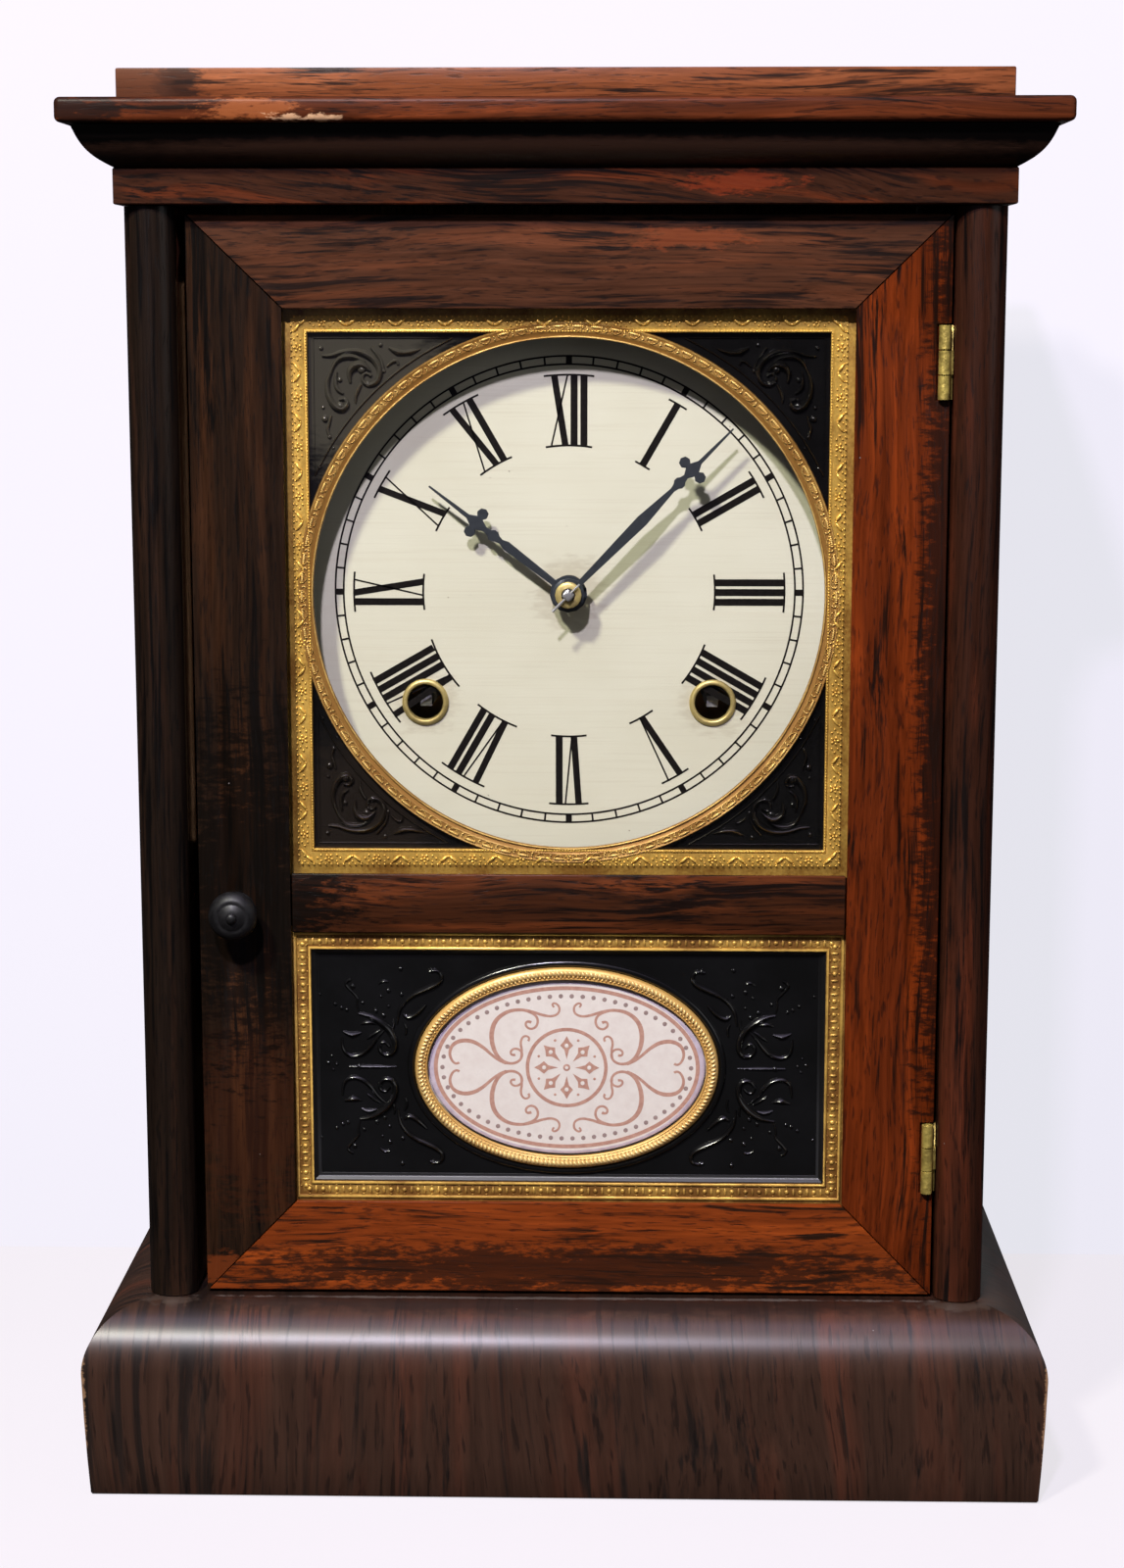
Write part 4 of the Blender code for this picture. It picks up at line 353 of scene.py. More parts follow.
def make_spot_group():
    """A soft ragged spot round a place, such as a worn or dirty patch, or a patch of painted shade or
    painted highlight.
    """
    inputs = {"Vector": None, "Centre": None, "Size": None, "Ragged": 0.5}
    tree, given, out = new_group("ragged_spot", inputs, ("Mask",))
    away = vector_maths("SUBTRACT", given["Vector"], given["Centre"])
    away = vector_maths("DIVIDE", away, given["Size"])
    length = Out(add_node("ShaderNodeVectorMath", {0: away}, operation="LENGTH")["Value"])
    rag = (noise(given["Vector"], (220, 220, 700), 5.0, 0.7) - 0.5) * (given["Ragged"] * 3.0)
    plug(ranged(length + rag, 1.15, 0.7), out["Mask"])
    return tree


SPECKS, SPOT = make_speck_group(), make_spot_group()


def specked(colour, place, cell, size, share, shade, strength=1.0):
    """A colour with small specks: how far apart, how big in a cell, and the share of cells with one."""
    mask = use_group(SPECKS, {"Vector": place, "Cell": cell, "Size": size, "Share": share})["Mask"]
    return blended(mask * strength, colour, shade)


def spotted(colour, place, spots):
    """A colour with spots: each a centre and a size in millimetres, a colour, a strength, a raggedness."""
    for centre, size, shade, strength, ragged in spots:
        spot = {"Centre": [c * MM for c in centre], "Size": [s * MM for s in size], "Ragged": ragged}
        mask = use_group(SPOT, {"Vector": place, **spot})["Mask"]
        colour = blended(mask * strength, colour, rgb(*shade))
    return colour


print("node groups:", len(bpy.data.node_groups))

# %% [markdown]
# The look of one member joins the veneer with its spots and its dust. The grain runs along X or, turned
# by a right angle, along Z, and a seed of its own gives each member a sheet of its own.

# %% A veneered member
GRAINS = {"x": 0.0, "z": 90.0}


def wood_look(name, light, mid, dark, grain, slant, seed, shares, contrast, wave, rough, spots=(), dust=0.05,
              shine=0.12, spread=(1.0, 1.0, 1.0), relief=0.00003, coat=0.0):
    """A veneered and varnished member, from its three tones to its spots of wear and dirt and of painted
    shade and highlight.
    """
    look, tree, shader = new_look(name, Specular_IOR_Level=shine, Coat_Weight=coat, Coat_Roughness=0.33)
    veneer = use_group(VENEER, {
        "Vector": place_of(tree, (0.0, GRAINS[grain] + slant, 0.0), spread), "Seed": seed,
        "Light": rgb(*light), "Mid": rgb(*mid), "Dark": rgb(*dark),
        "Light Share": shares[0], "Dark Share": shares[1], "Contrast": contrast * 1.3, "Wave": wave,
    })
    place = place_of(tree)
    colour = spotted(veneer["Color"], place, spots)
    if dust:
        colour = specked(colour, place, 0.006, 0.035, dust, rgb(120, 112, 110))
    connect(shader, colour, veneer["Roughness"] + (rough - 0.08), veneer["Height"], relief)
    return look


print("grain directions:", *GRAINS)

# %% [markdown]
# Each veneered member gets its own sheet: the right stile is bright orange-brown, the left one is dark,
# the columns and the big cornice moulding are nearly black, and the base has upright reddish stripes.

# %% Rosewood looks
BASE_TONES = ((78, 43, 30), (55, 36, 27), (33, 24, 20))
BASE_FRONT_LOOK = wood_look(
    "base_front_veneer", *BASE_TONES, "z", 3.5, 1.3, (0.5, 0.52), 0.28, 1.9, 0.4,
    dust=0.1, shine=0.16, spread=(0.45, 0.04, 0.45), coat=0.58, spots=[
        # The dark band along the base top is dirt together with painted shade that darkens the top surface.
        ((0.0, -45.5, 48.0), (124.0, 9.0, 2.6), (24, 13, 9), 0.75, 0.5),
        ((0.0, -45.3, 48.2), (94.0, 0.8, 1.0), (96, 88, 84), 0.6, 1.1),
        ((-100.6, -48.0, 48.2), (8.6, 3.0, 1.4), (84, 70, 62), 0.4, 1.1),
        ((100.6, -48.0, 48.2), (8.6, 3.0, 1.4), (84, 70, 62), 0.4, 1.1),
        ((-121.6, -60.0, 22.0), (0.8, 10.0, 24.0), (168, 130, 96), 0.6, 1.1),
        ((121.6, -60.0, 22.0), (0.8, 10.0, 24.0), (168, 130, 96), 0.6, 1.1),
    ],
)
BASE_SIDE_LOOK = wood_look(
    "base_side_veneer", *BASE_TONES, "z", 2.0, 1.9, (0.5, 0.6), 0.35, 1.2, 0.4,
    dust=0.1, shine=0.16, spread=(0.04, 1.0, 1.0), coat=0.5,
)
COLUMN_LEFT = wood_look(
    "left_column_veneer", (44, 27, 18), (25, 17, 12), (11, 8, 7), "z", 0.0, 2.1, (0.35, 0.6), 0.35, 0.5,
    0.3, shine=0.2,
)
COLUMN_RIGHT = wood_look(
    "right_column_veneer", (76, 35, 20), (45, 23, 14), (18, 11, 9), "z", 0.0, 3.7, (0.5, 0.6), 0.35, 0.6,
    0.3, shine=0.2,
)
OVOLO_LOOK = wood_look(
    "cornice_moulding_veneer", (16, 9, 6), (8, 5, 4), (4, 3, 2), "x", 0.0, 4.4, (0.3, 0.5), 0.25, 0.5,
    # The lighter band on the moulding's lower half is a painted highlight, a satin sheen laid into the
    # colour.
    0.3, spots=[((0.0, -52.0, 335.2), (122.0, 16.0, 3.0), (60, 40, 29), 0.9, 0.25)], shine=0.2,
)
FRIEZE_LOOK = wood_look(
    "frieze_veneer", (100, 43, 18), (50, 26, 15), (22, 13, 10), "x", -6.0, 5.2, (0.5, 0.62), 0.35, 2.4,
    0.38, shine=0.07, relief=0.00001,
    spots=[((42.0, -46.0, 328.0), (13.0, 12.0, 2.6), (150, 56, 24), 0.3, 1.1)],
)
SLAB_LOOK = wood_look(
    "slab_veneer", (106, 50, 24), (70, 32, 15), (28, 16, 10), "x", 0.0, 6.6, (0.5, 0.55), 0.35, 1.0, 0.38,
    shine=0.09, relief=0.00002, spots=[
        ((-73.0, -60.0, 344.2), (11.5, 12.0, 2.6), (140, 78, 42), 0.75, 1.3),
        ((-64.5, -60.0, 342.6), (4.0, 12.0, 1.0), (196, 156, 120), 0.75, 2.2),
        ((-57.5, -60.0, 342.4), (2.6, 12.0, 0.9), (196, 156, 120), 0.75, 2.2),
        ((-53.0, -60.0, 342.2), (1.8, 12.0, 0.6), (196, 156, 120), 0.6, 2.2),
        ((-114.0, -55.0, 344.0), (13.0, 12.0, 7.0), (26, 17, 14), 0.85, 1.1),
    ],
)
TOP_LOOK = wood_look(
    "top_block_veneer", (140, 82, 50), (110, 60, 34), (44, 27, 20), "x", 0.0, 7.9, (0.5, 0.52), 0.35, 0.9,
    0.36, spots=[
        ((-92.5, -46.0, 351.0), (6.0, 12.0, 8.0), (34, 24, 21), 0.85, 0.8),
        ((-102.5, -46.0, 351.0), (9.0, 12.0, 9.0), (72, 44, 32), 0.75, 0.3),
    ],
)
TOP_RAIL_LOOK = wood_look(
    "top_rail_veneer", (98, 53, 31), (66, 38, 24), (30, 19, 15), "x", 0.0, 8.3, (0.5, 0.66), 0.4, 1.3,
    0.4, relief=0.00001, spots=[((30.0, -42.0, 315.0), (14.0, 12.0, 2.4), (124, 60, 32), 0.5, 1.1)],
)
MIDDLE_RAIL_LOOK = wood_look(
    "middle_rail_veneer", (98, 48, 22), (54, 27, 13), (22, 12, 8), "x", 0.0, 9.4, (0.5, 0.6), 0.35, 1.2,
    # The near-black patch at the rail's left end, round the knob, is painted shade.
    0.38, spots=[((-76.0, -42.0, 151.0), (22.0, 12.0, 16.0), (10, 7, 5), 0.92, 1.1)],
)
BOTTOM_RAIL_LOOK = wood_look(
    "bottom_rail_veneer", (144, 64, 20), (108, 46, 14), (36, 19, 10), "x", 0.0, 10.7, (0.5, 0.5), 0.35, 1.0,
    0.38, spots=[((4.0, -42.0, 54.6), (90.0, 12.0, 6.6), (36, 19, 11), 0.85, 1.1)],
)
LEFT_STILE_LOOK = wood_look(
    "left_stile_veneer", (56, 32, 17), (29, 18, 11), (13, 9, 7), "z", 0.0, 11.2, (0.45, 0.6), 0.4, 0.8, 0.34,
    spots=[
        ((-86.0, -42.0, 54.0), (8.0, 12.0, 4.0), (110, 50, 20), 0.6, 1.1),
        ((-80.0, -42.0, 96.0), (16.0, 12.0, 26.0), (58, 28, 14), 0.35, 1.1),
        # The near-black patch round the knob is painted shade.
        ((-80.0, -42.0, 154.0), (20.0, 12.0, 42.0), (10, 7, 5), 0.85, 1.1),
    ],
)
RIGHT_STILE_LOOK = wood_look(
    "right_stile_veneer", (116, 46, 12), (82, 31, 8), (32, 14, 7), "z", 0.0, 12.5, (0.5, 0.55), 0.4, 1.0,
    # The dark strip along the stile's hinge edge is painted shade.
    0.34, spots=[((93.5, -42.0, 210.0), (6.0, 12.0, 120.0), (26, 13, 8), 0.85, 1.1)],
)
SIDE_LOOK = wood_look(
    "side_veneer", (84, 44, 28), (50, 29, 20), (24, 16, 13), "z", 2.0, 13.3, (0.5, 0.5), 0.3, 1.0, 0.34,
)
print("rosewood looks:", len(bpy.data.materials))

# %% [markdown]
# ## Metal, lacquer, paint and glass
# The gilt parts are stamped brass under a gold lacquer, with a painted highlight on the tops and painted
# shade in the hollows.
# The dial is sheet metal with cream paint brushed on from side to side. The panels behind the glass are
# pressed sheet under black satin lacquer.


# %% Metal group
def make_metal_group():
    """Colour, roughness and height of a metal, tarnished in patches, with a painted highlight where high and
    painted shade where low.
    """
    tree, given, out = new_group("worked_metal", {
        "Vector": None, "High": 1.0, "Bright": rgb(255, 214, 120), "Hollow": rgb(120, 80, 25),
        "Tarnish": 0.4, "Grain": 1500.0, "Matt": 0.1,
    }, ("Color", "Roughness", "Height"))
    cloud = noise(given["Vector"], (90, 90, 90), 4.0, 0.6)
    finer = vector_maths("SCALE", given["Vector"], given["Grain"])
    grain = noise(finer, (1, 1, 1), 2.0, 0.6)
    stain = ranged(cloud, 0.42, 0.66) * given["Tarnish"]
    lit = given["High"] - stain + (grain - 0.5) * 0.5
    plug(blended(ranged(lit, 0.0, 1.0), given["Hollow"], given["Bright"]), out["Color"])
    plug(grain * 0.25 + stain * 0.25 + (1.0 - given["High"]) * given["Matt"], out["Roughness"])
    plug(grain, out["Height"])
    return tree


METAL = make_metal_group()
print("node groups:", len(bpy.data.node_groups))

# %% [markdown]
# A stamped piece tells its hollows from its tops by its own depth, and its colour is darkened in the
# hollows as painted shade and brightened on the tops as a painted highlight. The plain metals have no
# such depths.


# %% Gilt, brass and steel
def metal_look(name, bright, hollow, rough, tarnish, grain, bump, depths=None, metal=1.0):
    """A metal. With depths, a front and a back setback, the hollows get painted shade and the tops a painted
    highlight.
    """
    look, tree, shader = new_look(name, Metallic=metal)
    place = place_of(tree)
    high = 1.0
    # With depths, the colour gets painted shade in the hollows and a painted highlight on the tops.
    if depths:
        y = Out(add_node("ShaderNodeSeparateXYZ", {0: place})[1])
        high = ranged(y, depth(depths[1]) * MM, depth(depths[0]) * MM)
    made = use_group(METAL, {
        "Vector": place, "High": high, "Bright": rgb(*bright), "Hollow": rgb(*hollow), "Tarnish": tarnish,
        "Grain": grain,
    })
    connect(shader, made["Color"], made["Roughness"] + (rough - 0.12), made["Height"], bump)
    return look


UPPER_GILT = metal_look(
    "upper_gilt", (255, 214, 108), (140, 100, 38), 0.36, 0.35, 1400.0, 0.00003, (7.5, 8.8), 0.5)
RING_GILT = metal_look(
    "ring_gilt", (255, 220, 134), (146, 106, 48), 0.4, 0.4, 1400.0, 0.00003, (7.4, 7.95), 0.45)
LOWER_GILT = metal_look(
    "lower_gilt", (246, 200, 100), (122, 82, 32), 0.38, 0.6, 1400.0, 0.00004, (5.4, 6.2), 0.5)
OVAL_GILT = metal_look(
    "oval_gilt", (255, 226, 156), (196, 154, 84), 0.36, 0.3, 1400.0, 0.00003, (5.4, 6.4), 0.4)
PALE_BRASS = metal_look("pale_brass", (206, 188, 124), (112, 98, 58), 0.42, 0.5, 900.0, 0.00003, metal=0.6)
HINGE_BRASS = metal_look(
    "worn_hinge_brass", (206, 184, 96), (74, 56, 24), 0.42, 1.0, 420.0, 0.0004, metal=0.7)
BRASS_LOOK = metal_look("aged_brass", (196, 158, 88), (92, 66, 34), 0.34, 0.7, 700.0, 0.00002)
MOVEMENT_BRASS = metal_look("movement_brass", (214, 176, 100), (120, 90, 48), 0.28, 0.5, 500.0, 0.00001)
STEEL_LOOK = metal_look("worked_steel", (176, 178, 184), (90, 88, 88), 0.34, 0.4, 900.0, 0.00001, metal=0.7)
BLUED_LOOK = metal_look("blue_black_steel", (58, 64, 72), (37, 40, 44), 0.42, 0.4, 900.0, 0.00001, metal=0.5)
IRON_LOOK = metal_look("rough_iron", (66, 64, 66), (30, 27, 26), 0.55, 0.6, 900.0, 0.0001)
print("metals:", len(bpy.data.materials))

# %% [markdown]
# Old black lacquer is never quite black or flat: it has slow waves and a little dust. On the spandrels,
# grey places at the left are painted sheen, a painted reflection laid into the colour.


# %% Black lacquer
def lacquer_look(name, rough, painted_sheen=()):
    """Black lacquer on pressed sheet with dust and slow waves. Each painted sheen is a greyed place, a
    painted reflection.
    """
    look, tree, shader = new_look(name, IOR=1.5)
    place = place_of(tree)
    cloud = noise(place, (60, 60, 60), 4.0, 0.6)
    fine = noise(place, (1800, 1800, 1800))
    colour = blended(ranged(cloud, 0.35, 0.7), rgb(8, 8, 8), rgb(13, 13, 14))
    colour = spotted(specked(colour, place, 0.005, 0.04, 0.12, rgb(70, 70, 72)), place, painted_sheen)
    connect(shader, colour, cloud * 0.16 + (rough - 0.08), fine * 0.04 + cloud, 0.0001)
    return look


LACQUER = lacquer_look("black_lacquer", 0.2)
SATIN_LACQUER = lacquer_look("satin_lacquer", 0.42)
SPANDREL_LACQUER = lacquer_look("spandrel_lacquer", 0.2, [
    # Both greyed places at the left are painted sheen, a painted reflection on the lacquer.
    ((-52.0, -37.0, 282.0), (24.0, 12.0, 24.0), (62, 60, 53), 0.85, 0.4),
    ((-52.0, -37.0, 172.0), (20.0, 12.0, 20.0), (36, 30, 25), 0.6, 0.4),
])
print("lacquers are mixed")

# %% [markdown]
# The dial's cream paint is brushed from side to side, and darkens round the hand centre and the winding
# holes, where fingers and oil reach it. The other paints and enamels only cloud a little.

# %% Paint and enamel
DIAL = (0.8, 227.8)
WINDING_HOLES = ((-35.55, 199.85), (37.15, 199.85))


def dial_look():
    """Cream paint with brush lines, specks, and grime round the hand centre and the grommets."""
    look, tree, shader = new_look("dial_paint", Specular_IOR_Level=0.35)
    place = place_of(tree)
    lines = noise(place, (18, 18, 1100), 3.0, 0.6)
    hairs = noise(place, (30, 30, 3200), 1.0, 0.5)
    cloud = noise(place, (22, 22, 30), 3.0, 0.5)
    colour = blended(ranged(cloud, 0.35, 0.7), rgb(212, 213, 198), rgb(204, 204, 187))
    colour = blended(ranged(lines, 0.5, 0.75, 0.0, 0.22), colour, rgb(196, 190, 170))
    colour = blended(ranged(hairs, 0.55, 0.7, 0.0, 0.22), colour, rgb(184, 178, 160))
    grime = [(DIAL, 9.0, 0.35)] + [(hole, 8.5, 0.3) for hole in WINDING_HOLES]
    colour = spotted(colour, place, [
        ((x, depth(18), z), (size,) * 3, (150, 138, 118), strength, 0.6) for (x, z), size, strength in grime
    ])
    colour = specked(colour, place, 0.005, 0.05, 0.25, rgb(95, 85, 70), 0.75)
    connect(shader, colour, ranged(lines, 0.3, 0.7, 0.42, 0.6), lines, 0.000008)
    return look


def painted_look(name, colour, second, rough, scale=400.0, bump=0.00001, shine=0.5):
    """Plain paint or enamel with faint clouding."""
    look, tree, shader = new_look(name, Specular_IOR_Level=shine)
    cloud = noise(place_of(tree), (scale, scale, scale), 4.0, 0.6)
    mixed = blended(ranged(cloud, 0.35, 0.68), rgb(*colour), rgb(*second))
    connect(shader, mixed, ranged(cloud, 0.3, 0.7, rough - 0.05, rough + 0.1), cloud, bump)
    return look


DIAL_LOOK = dial_look()
TABLET_LOOK = painted_look("pink_enamel", (214, 206, 199), (207, 197, 190), 0.3)
TABLET_RIM_LOOK = painted_look("lilac_enamel", (188, 176, 188), (168, 154, 168), 0.3)
ROSE_LOOK = painted_look("rose_print", (180, 140, 124), (162, 120, 106), 0.4, 900.0)
GREY_DOT_LOOK = painted_look("grey_print", (148, 128, 124), (132, 112, 108), 0.4, 900.0)
NUMERAL_LOOK = painted_look("numeral_paint", (13, 12, 12), (26, 23, 22), 0.5, 1500.0, shine=0.1)
EBONISED_LOOK = painted_look("ebonised_wood", (9, 8, 9), (15, 14, 15), 0.46, 700.0, 0.00003, 0.35)
print("paints are mixed")

# %% [markdown]
# A light path through thick clear glass is slow and noisy to follow, so the door's glass lets light
# straight through and adds only a thin reflection. The inside of the case is bare pine.


# %% Glass and bare pine
def mix_shaders(share, first, second, look):
    """Two shaders mixed by a share. With a look, the mix is what it shows."""
    mixed = add_node("ShaderNodeMixShader", {0: share, 1: Out(first), 2: Out(second)})[0]
    if look:
        plug(Out(mixed), look.node_tree.nodes["Material Output"].inputs["Surface"])
    return mixed


def glass_look():
    """Clear window glass: a thin reflection over a plain view straight through."""
    look, tree, shader = new_look("window_glass", Transmission_Weight=1.0, Roughness=0.02, IOR=1.45)
    wave = noise(place_of(tree), (40, 40, 40))
    tint = blended(ranged(wave, 0.3, 0.7), rgb(255, 254, 252), rgb(252, 251, 248))
    connect(shader, tint, ranged(wave, 0.3, 0.7, 0.01, 0.03), wave, 0.00002)
    clear = add_node("ShaderNodeBsdfTransparent", {0: rgb(252, 251, 249)}, tree)[0]
    sheen = add_node("ShaderNodeBsdfAnisotropic", {"Roughness": 0.02}, tree)[0]
    edge = Out(add_node("ShaderNodeFresnel", {"IOR": 1.4}, tree)[0])
    inside = Out(add_node("ShaderNodeNewGeometry", tree=tree)["Backfacing"])
    clear = mix_shaders(edge * (1.0 - inside), clear, sheen, None)
    passing = 1.0 - Out(add_node("ShaderNodeLightPath", tree=tree)["Is Transmission Ray"])
    mix_shaders(passing, shader.outputs[0], clear, look)
    return look


GLASS_LOOK = glass_look()
PINE_LOOK = wood_look(
    "bare_pine", (206, 168, 118), (184, 142, 94), (138, 98, 60), "z", 0.0, 14.1, (0.5, 0.3), 0.2, 1.2, 0.62,
    dust=0.0,
)
print("looks in all:", len(bpy.data.materials))

# %% [markdown]
# Every CAD node that stays visible takes the look of its own material. The pieces made further down
# stand for some of the nodes, and those nodes are then hidden.

# %% Dress the CAD nodes
SLOT_LOOKS = {
    "rosewood": SIDE_LOOK, "dark_rosewood": OVOLO_LOOK, "pine": PINE_LOOK, "gilt": UPPER_GILT,
    "black_lacquer": LACQUER, "dial_paint": DIAL_LOOK, "tablet": TABLET_LOOK, "glass": GLASS_LOOK,
    "brass": BRASS_LOOK, "steel": STEEL_LOOK, "blued_steel": BLUED_LOOK, "ebonised": EBONISED_LOOK,
    "cast_iron": IRON_LOOK,
}
MOVEMENT_NODES = (
    "front_plate", "back_plate", "time_great_wheel", "time_second_wheel", "strike_great_wheel",
    "strike_pin_wheel", "minute_wheel", "hour_wheel", "escape_wheel", "pendulum_bob",
)
NODE_LOOKS = {row["node"]: SLOT_LOOKS[row["material_slot"]] for row in frame["record"]["subparts"]}
NODE_LOOKS.update({label: MOVEMENT_BRASS for label in MOVEMENT_NODES})
NODE_LOOKS["spandrel_plate"] = SPANDREL_LACQUER
for label, node in NODES.items():
    node.data.materials.clear()
    node.data.materials.append(NODE_LOOKS[label])
print("dressed", len(NODES), "nodes")

# %% [markdown]
# ## Case
# Every moulding of the case is a straight run with a mitre at each corner. It is drawn longer than it is
# needed and then cut, so that the cut faces are true.

# %% Mitred mouldings
CASE_X, CASE_BACK = 106.7, 108.0
SPARE_ACROSS, SPARE_AHEAD, MITRE_GAP = 20.0, 25.0, 0.03


def mitred_run(profile, side):
    """A moulding of (out, up) pairs: side 0 runs across the front, -1 and 1 run down the sides."""
    reach = CASE_X + SPARE_ACROSS
    if side == 0:
        section = [(-reach, depth(-out), up) for out, up in profile]
        shape = stretched(bmesh.new(), section, (2 * reach, 0, 0))
        saw(shape, (-CASE_X, depth(MITRE_GAP), 0), (-1, 1, 0))
        saw(shape, (CASE_X, depth(MITRE_GAP), 0), (1, 1, 0))
        return shape
    section = [(side * (CASE_X + out), depth(-SPARE_AHEAD), up) for out, up in profile]
    shape = stretched(bmesh.new(), section, (0, CASE_BACK + SPARE_AHEAD, 0))
    saw(shape, (side * CASE_X, depth(-MITRE_GAP), 0), (-side, -1, 0))
    return shape


def arc(centre, radii, start, end, steps):
    """Points of an elliptical arc between two angles in degrees."""
    angles = [math.radians(start + (end - start) * step / steps) for step in range(steps + 1)]
    return [(centre[0] + radii[0] * math.cos(a), centre[1] + radii[1] * math.sin(a)) for a in angles]


print("mouldings can be run")

# %% [markdown]
# The base is one big quarter-round moulding, mitred at the corners. It is drawn as a profile and cut at
# 45 degrees, as it would be on a bench.

# %% Base
BASE_PROFILE = [(-14.65, 0.0), (12.6, 0.0), (13.2, 0.15), (13.55, 0.7), (14.1, 10.0), (14.6, 21.0)]
BASE_PROFILE += arc((0.0, 32.7), (14.95, 15.3), 0.0, 90.0, 24) + [(-14.65, 48.0)]
for label, side in (("base_front", 0), ("base_left", -1), ("base_right", 1)):
    look = BASE_SIDE_LOOK if side else BASE_FRONT_LOOK
    add_piece(label + "_moulding", mitred_run(BASE_PROFILE, side), [look], "case", label, 30.0)
print("base profile points:", len(BASE_PROFILE))

# %% [markdown]
# The cornice has a flat frieze with mottled veneer, a small quirk and a nearly black ovolo that swells
# outwards under the top slab.

# %% Cornice
OVOLO_FOOT = 331.5
CORNICE_PROFILE = [(-12.1, 322.8), (1.25, 322.8), (1.55, 323.1), (1.55, 331.1), (1.4, 331.3)]
for step in range(17):
    share = step / 16
    swell = 1.5 * math.sin(math.pi * share)
    CORNICE_PROFILE.append((1.25 + 8.65 * share + swell * 0.74, OVOLO_FOOT + 9.6 * share - swell * 0.67))
CORNICE_PROFILE.append((-12.1, 341.1))
for label, side in (("cornice_front", 0), ("cornice_left", -1), ("cornice_right", 1)):
    shape = mitred_run(CORNICE_PROFILE, side)
    for face in shape.faces:
        face.material_index = 0 if face.calc_center_median().z < OVOLO_FOOT else 1
    add_piece(label + "_moulding", shape, [FRIEZE_LOOK, OVOLO_LOOK], "case", label, 30.0)
print("cornice profile points:", len(CORNICE_PROFILE))

# %% [markdown]
# A wide slab with rounded edges lies on the cornice, and a smaller block on the slab. Both are plain
# boards, so each is a box with its edges rounded.


# %% Slab and top block
def block(shape, low, high):
    """A plain box between two corners (x, setback, z)."""
    middle = [(a + b) / 2 for a, b in zip(low, high)]
    sizes = [b - a for a, b in zip(low, high)]
    place = Matrix.Translation((middle[0], depth(middle[1]), middle[2])) @ Matrix.Diagonal((*sizes, 1))
    bmesh.ops.create_cube(shape, size=1.0, matrix=place)
    return shape


shape = soften(block(bmesh.new(), (-119.9, -13.2, 341.4), (119.9, CASE_BACK, 347.3)), 1.4, 4)
add_piece("top_slab", shape, [SLAB_LOOK], "case", "cornice_slab")
shape = soften(block(bmesh.new(), (-107.2, -0.5, 347.6), (107.2, CASE_BACK, 354.8)), 0.4)
add_piece("upper_block", shape, [TOP_LOOK], "case", "top_block")
print("slab and block are in place")

# %% [markdown]
# Each column is a half-round strip of very dark wood glued to the front edge of the case side.

# %% Columns
COLUMN_X, COLUMN_RADIUS = 100.65, 6.457
for label, side, look in (("column_left", -1, COLUMN_LEFT), ("column_right", 1, COLUMN_RIGHT)):
    middle = side * COLUMN_X
    points = arc((middle, COLUMN_RADIUS), (COLUMN_RADIUS, COLUMN_RADIUS), -20.45, -159.55, 24)
    section = [(x, depth(setback), 48.3) for x, setback in points]
    section += [(middle - 6.05, depth(6.2), 48.3), (middle + 6.05, depth(6.2), 48.3)]
    shape = stretched(bmesh.new(), section, (0, 0, 274.2))
    add_piece(label + "_strip", shape, [look], "case", label, 40.0)
print("columns are in place")

# %% [markdown]
# The sides, the back and the floor are plain boards, which keep their CAD shape with edges a little
# worn. Only the sides are veneered.

# %% Boards
for label in ("side_left", "side_right"):
    add_piece(label + "_board", soften(cad_copy(label), 0.4), [SIDE_LOOK], "case", label)
for label in ("back_board", "floor_board"):
    add_piece(label + "_pine", soften(cad_copy(label), 0.3, 1), [PINE_LOOK], "case", label)
print("boards are in place")

# %% [markdown]
# ## Door
# The door's members meet in mitres, which show as thin dark lines. Their long edges are worn a little
# round; the edges along the mitres stay sharp, because the joint protects them.


# %% Door frame
def on_mitre(edge):
    """True for an edge that runs slantwise across the door's face."""
    run = edge.verts[0].co - edge.verts[1].co
    return min(abs(run.x), abs(run.z)) > 0.5


DOOR_LOOKS = {
    "top_rail": TOP_RAIL_LOOK, "middle_rail": MIDDLE_RAIL_LOOK, "bottom_rail": BOTTOM_RAIL_LOOK,
    "stile_left": LEFT_STILE_LOOK, "stile_right": RIGHT_STILE_LOOK,
}
for label, look in DOOR_LOOKS.items():
    shape = soften(cad_copy(label), 0.3, skip=on_mitre)
    add_piece(label + "_veneered", shape, [look], "door", label)
print("door members:", len(DOOR_LOOKS))

# %% [markdown]
# The gilt sashes and rings are stamped bands: a section run round a rectangle or a circle, with small
# rounded grains set along it. The same few grains, repeated hundreds of times, give the glitter of the
# real stamping. Lists of points are kept as text, with commas between the points.

# %% Stamped bands
STAMPED = 60.0


def numbers(text):
    """Groups of numbers, such as the points of a stroke, from text with commas between the groups."""
    return [tuple(map(float, group.split())) for group in text.split(",")]


def frame_band(shape, x_range, z_range, profile):
    """A mitred frame whose section is a ring of (inset, setback) pairs."""
    loops = []
    for inset, setback in profile:
        left, right = x_range[0] + inset, x_range[1] - inset
        low, high = z_range[0] + inset, z_range[1] - inset
        corners = ((left, low), (right, low), (right, high), (left, high))
        verts = [shape.verts.new((x, depth(setback), z)) for x, z in corners]
        loops.append([shape.edges.new((verts[i], verts[(i + 1) % 4])) for i in range(4)])
    for first, second in zip(loops, loops[1:] + loops[:1]):
        bmesh.ops.bridge_loops(shape, edges=first + second)
    return shape


def bead(shape, place, setback, size, angle=0.0, detail=1):
    """A rounded grain with half sizes (along, outwards, across), turned anticlockwise by an angle."""
    spot = Matrix.Translation((place[0], depth(setback), place[1]))
    turn = Matrix.Rotation(-angle, 4, "Y")
    grow = Matrix.Diagonal((size[0], size[1], size[2], 1))
    bmesh.ops.create_icosphere(shape, subdivisions=detail, radius=1.0, matrix=spot @ turn @ grow)


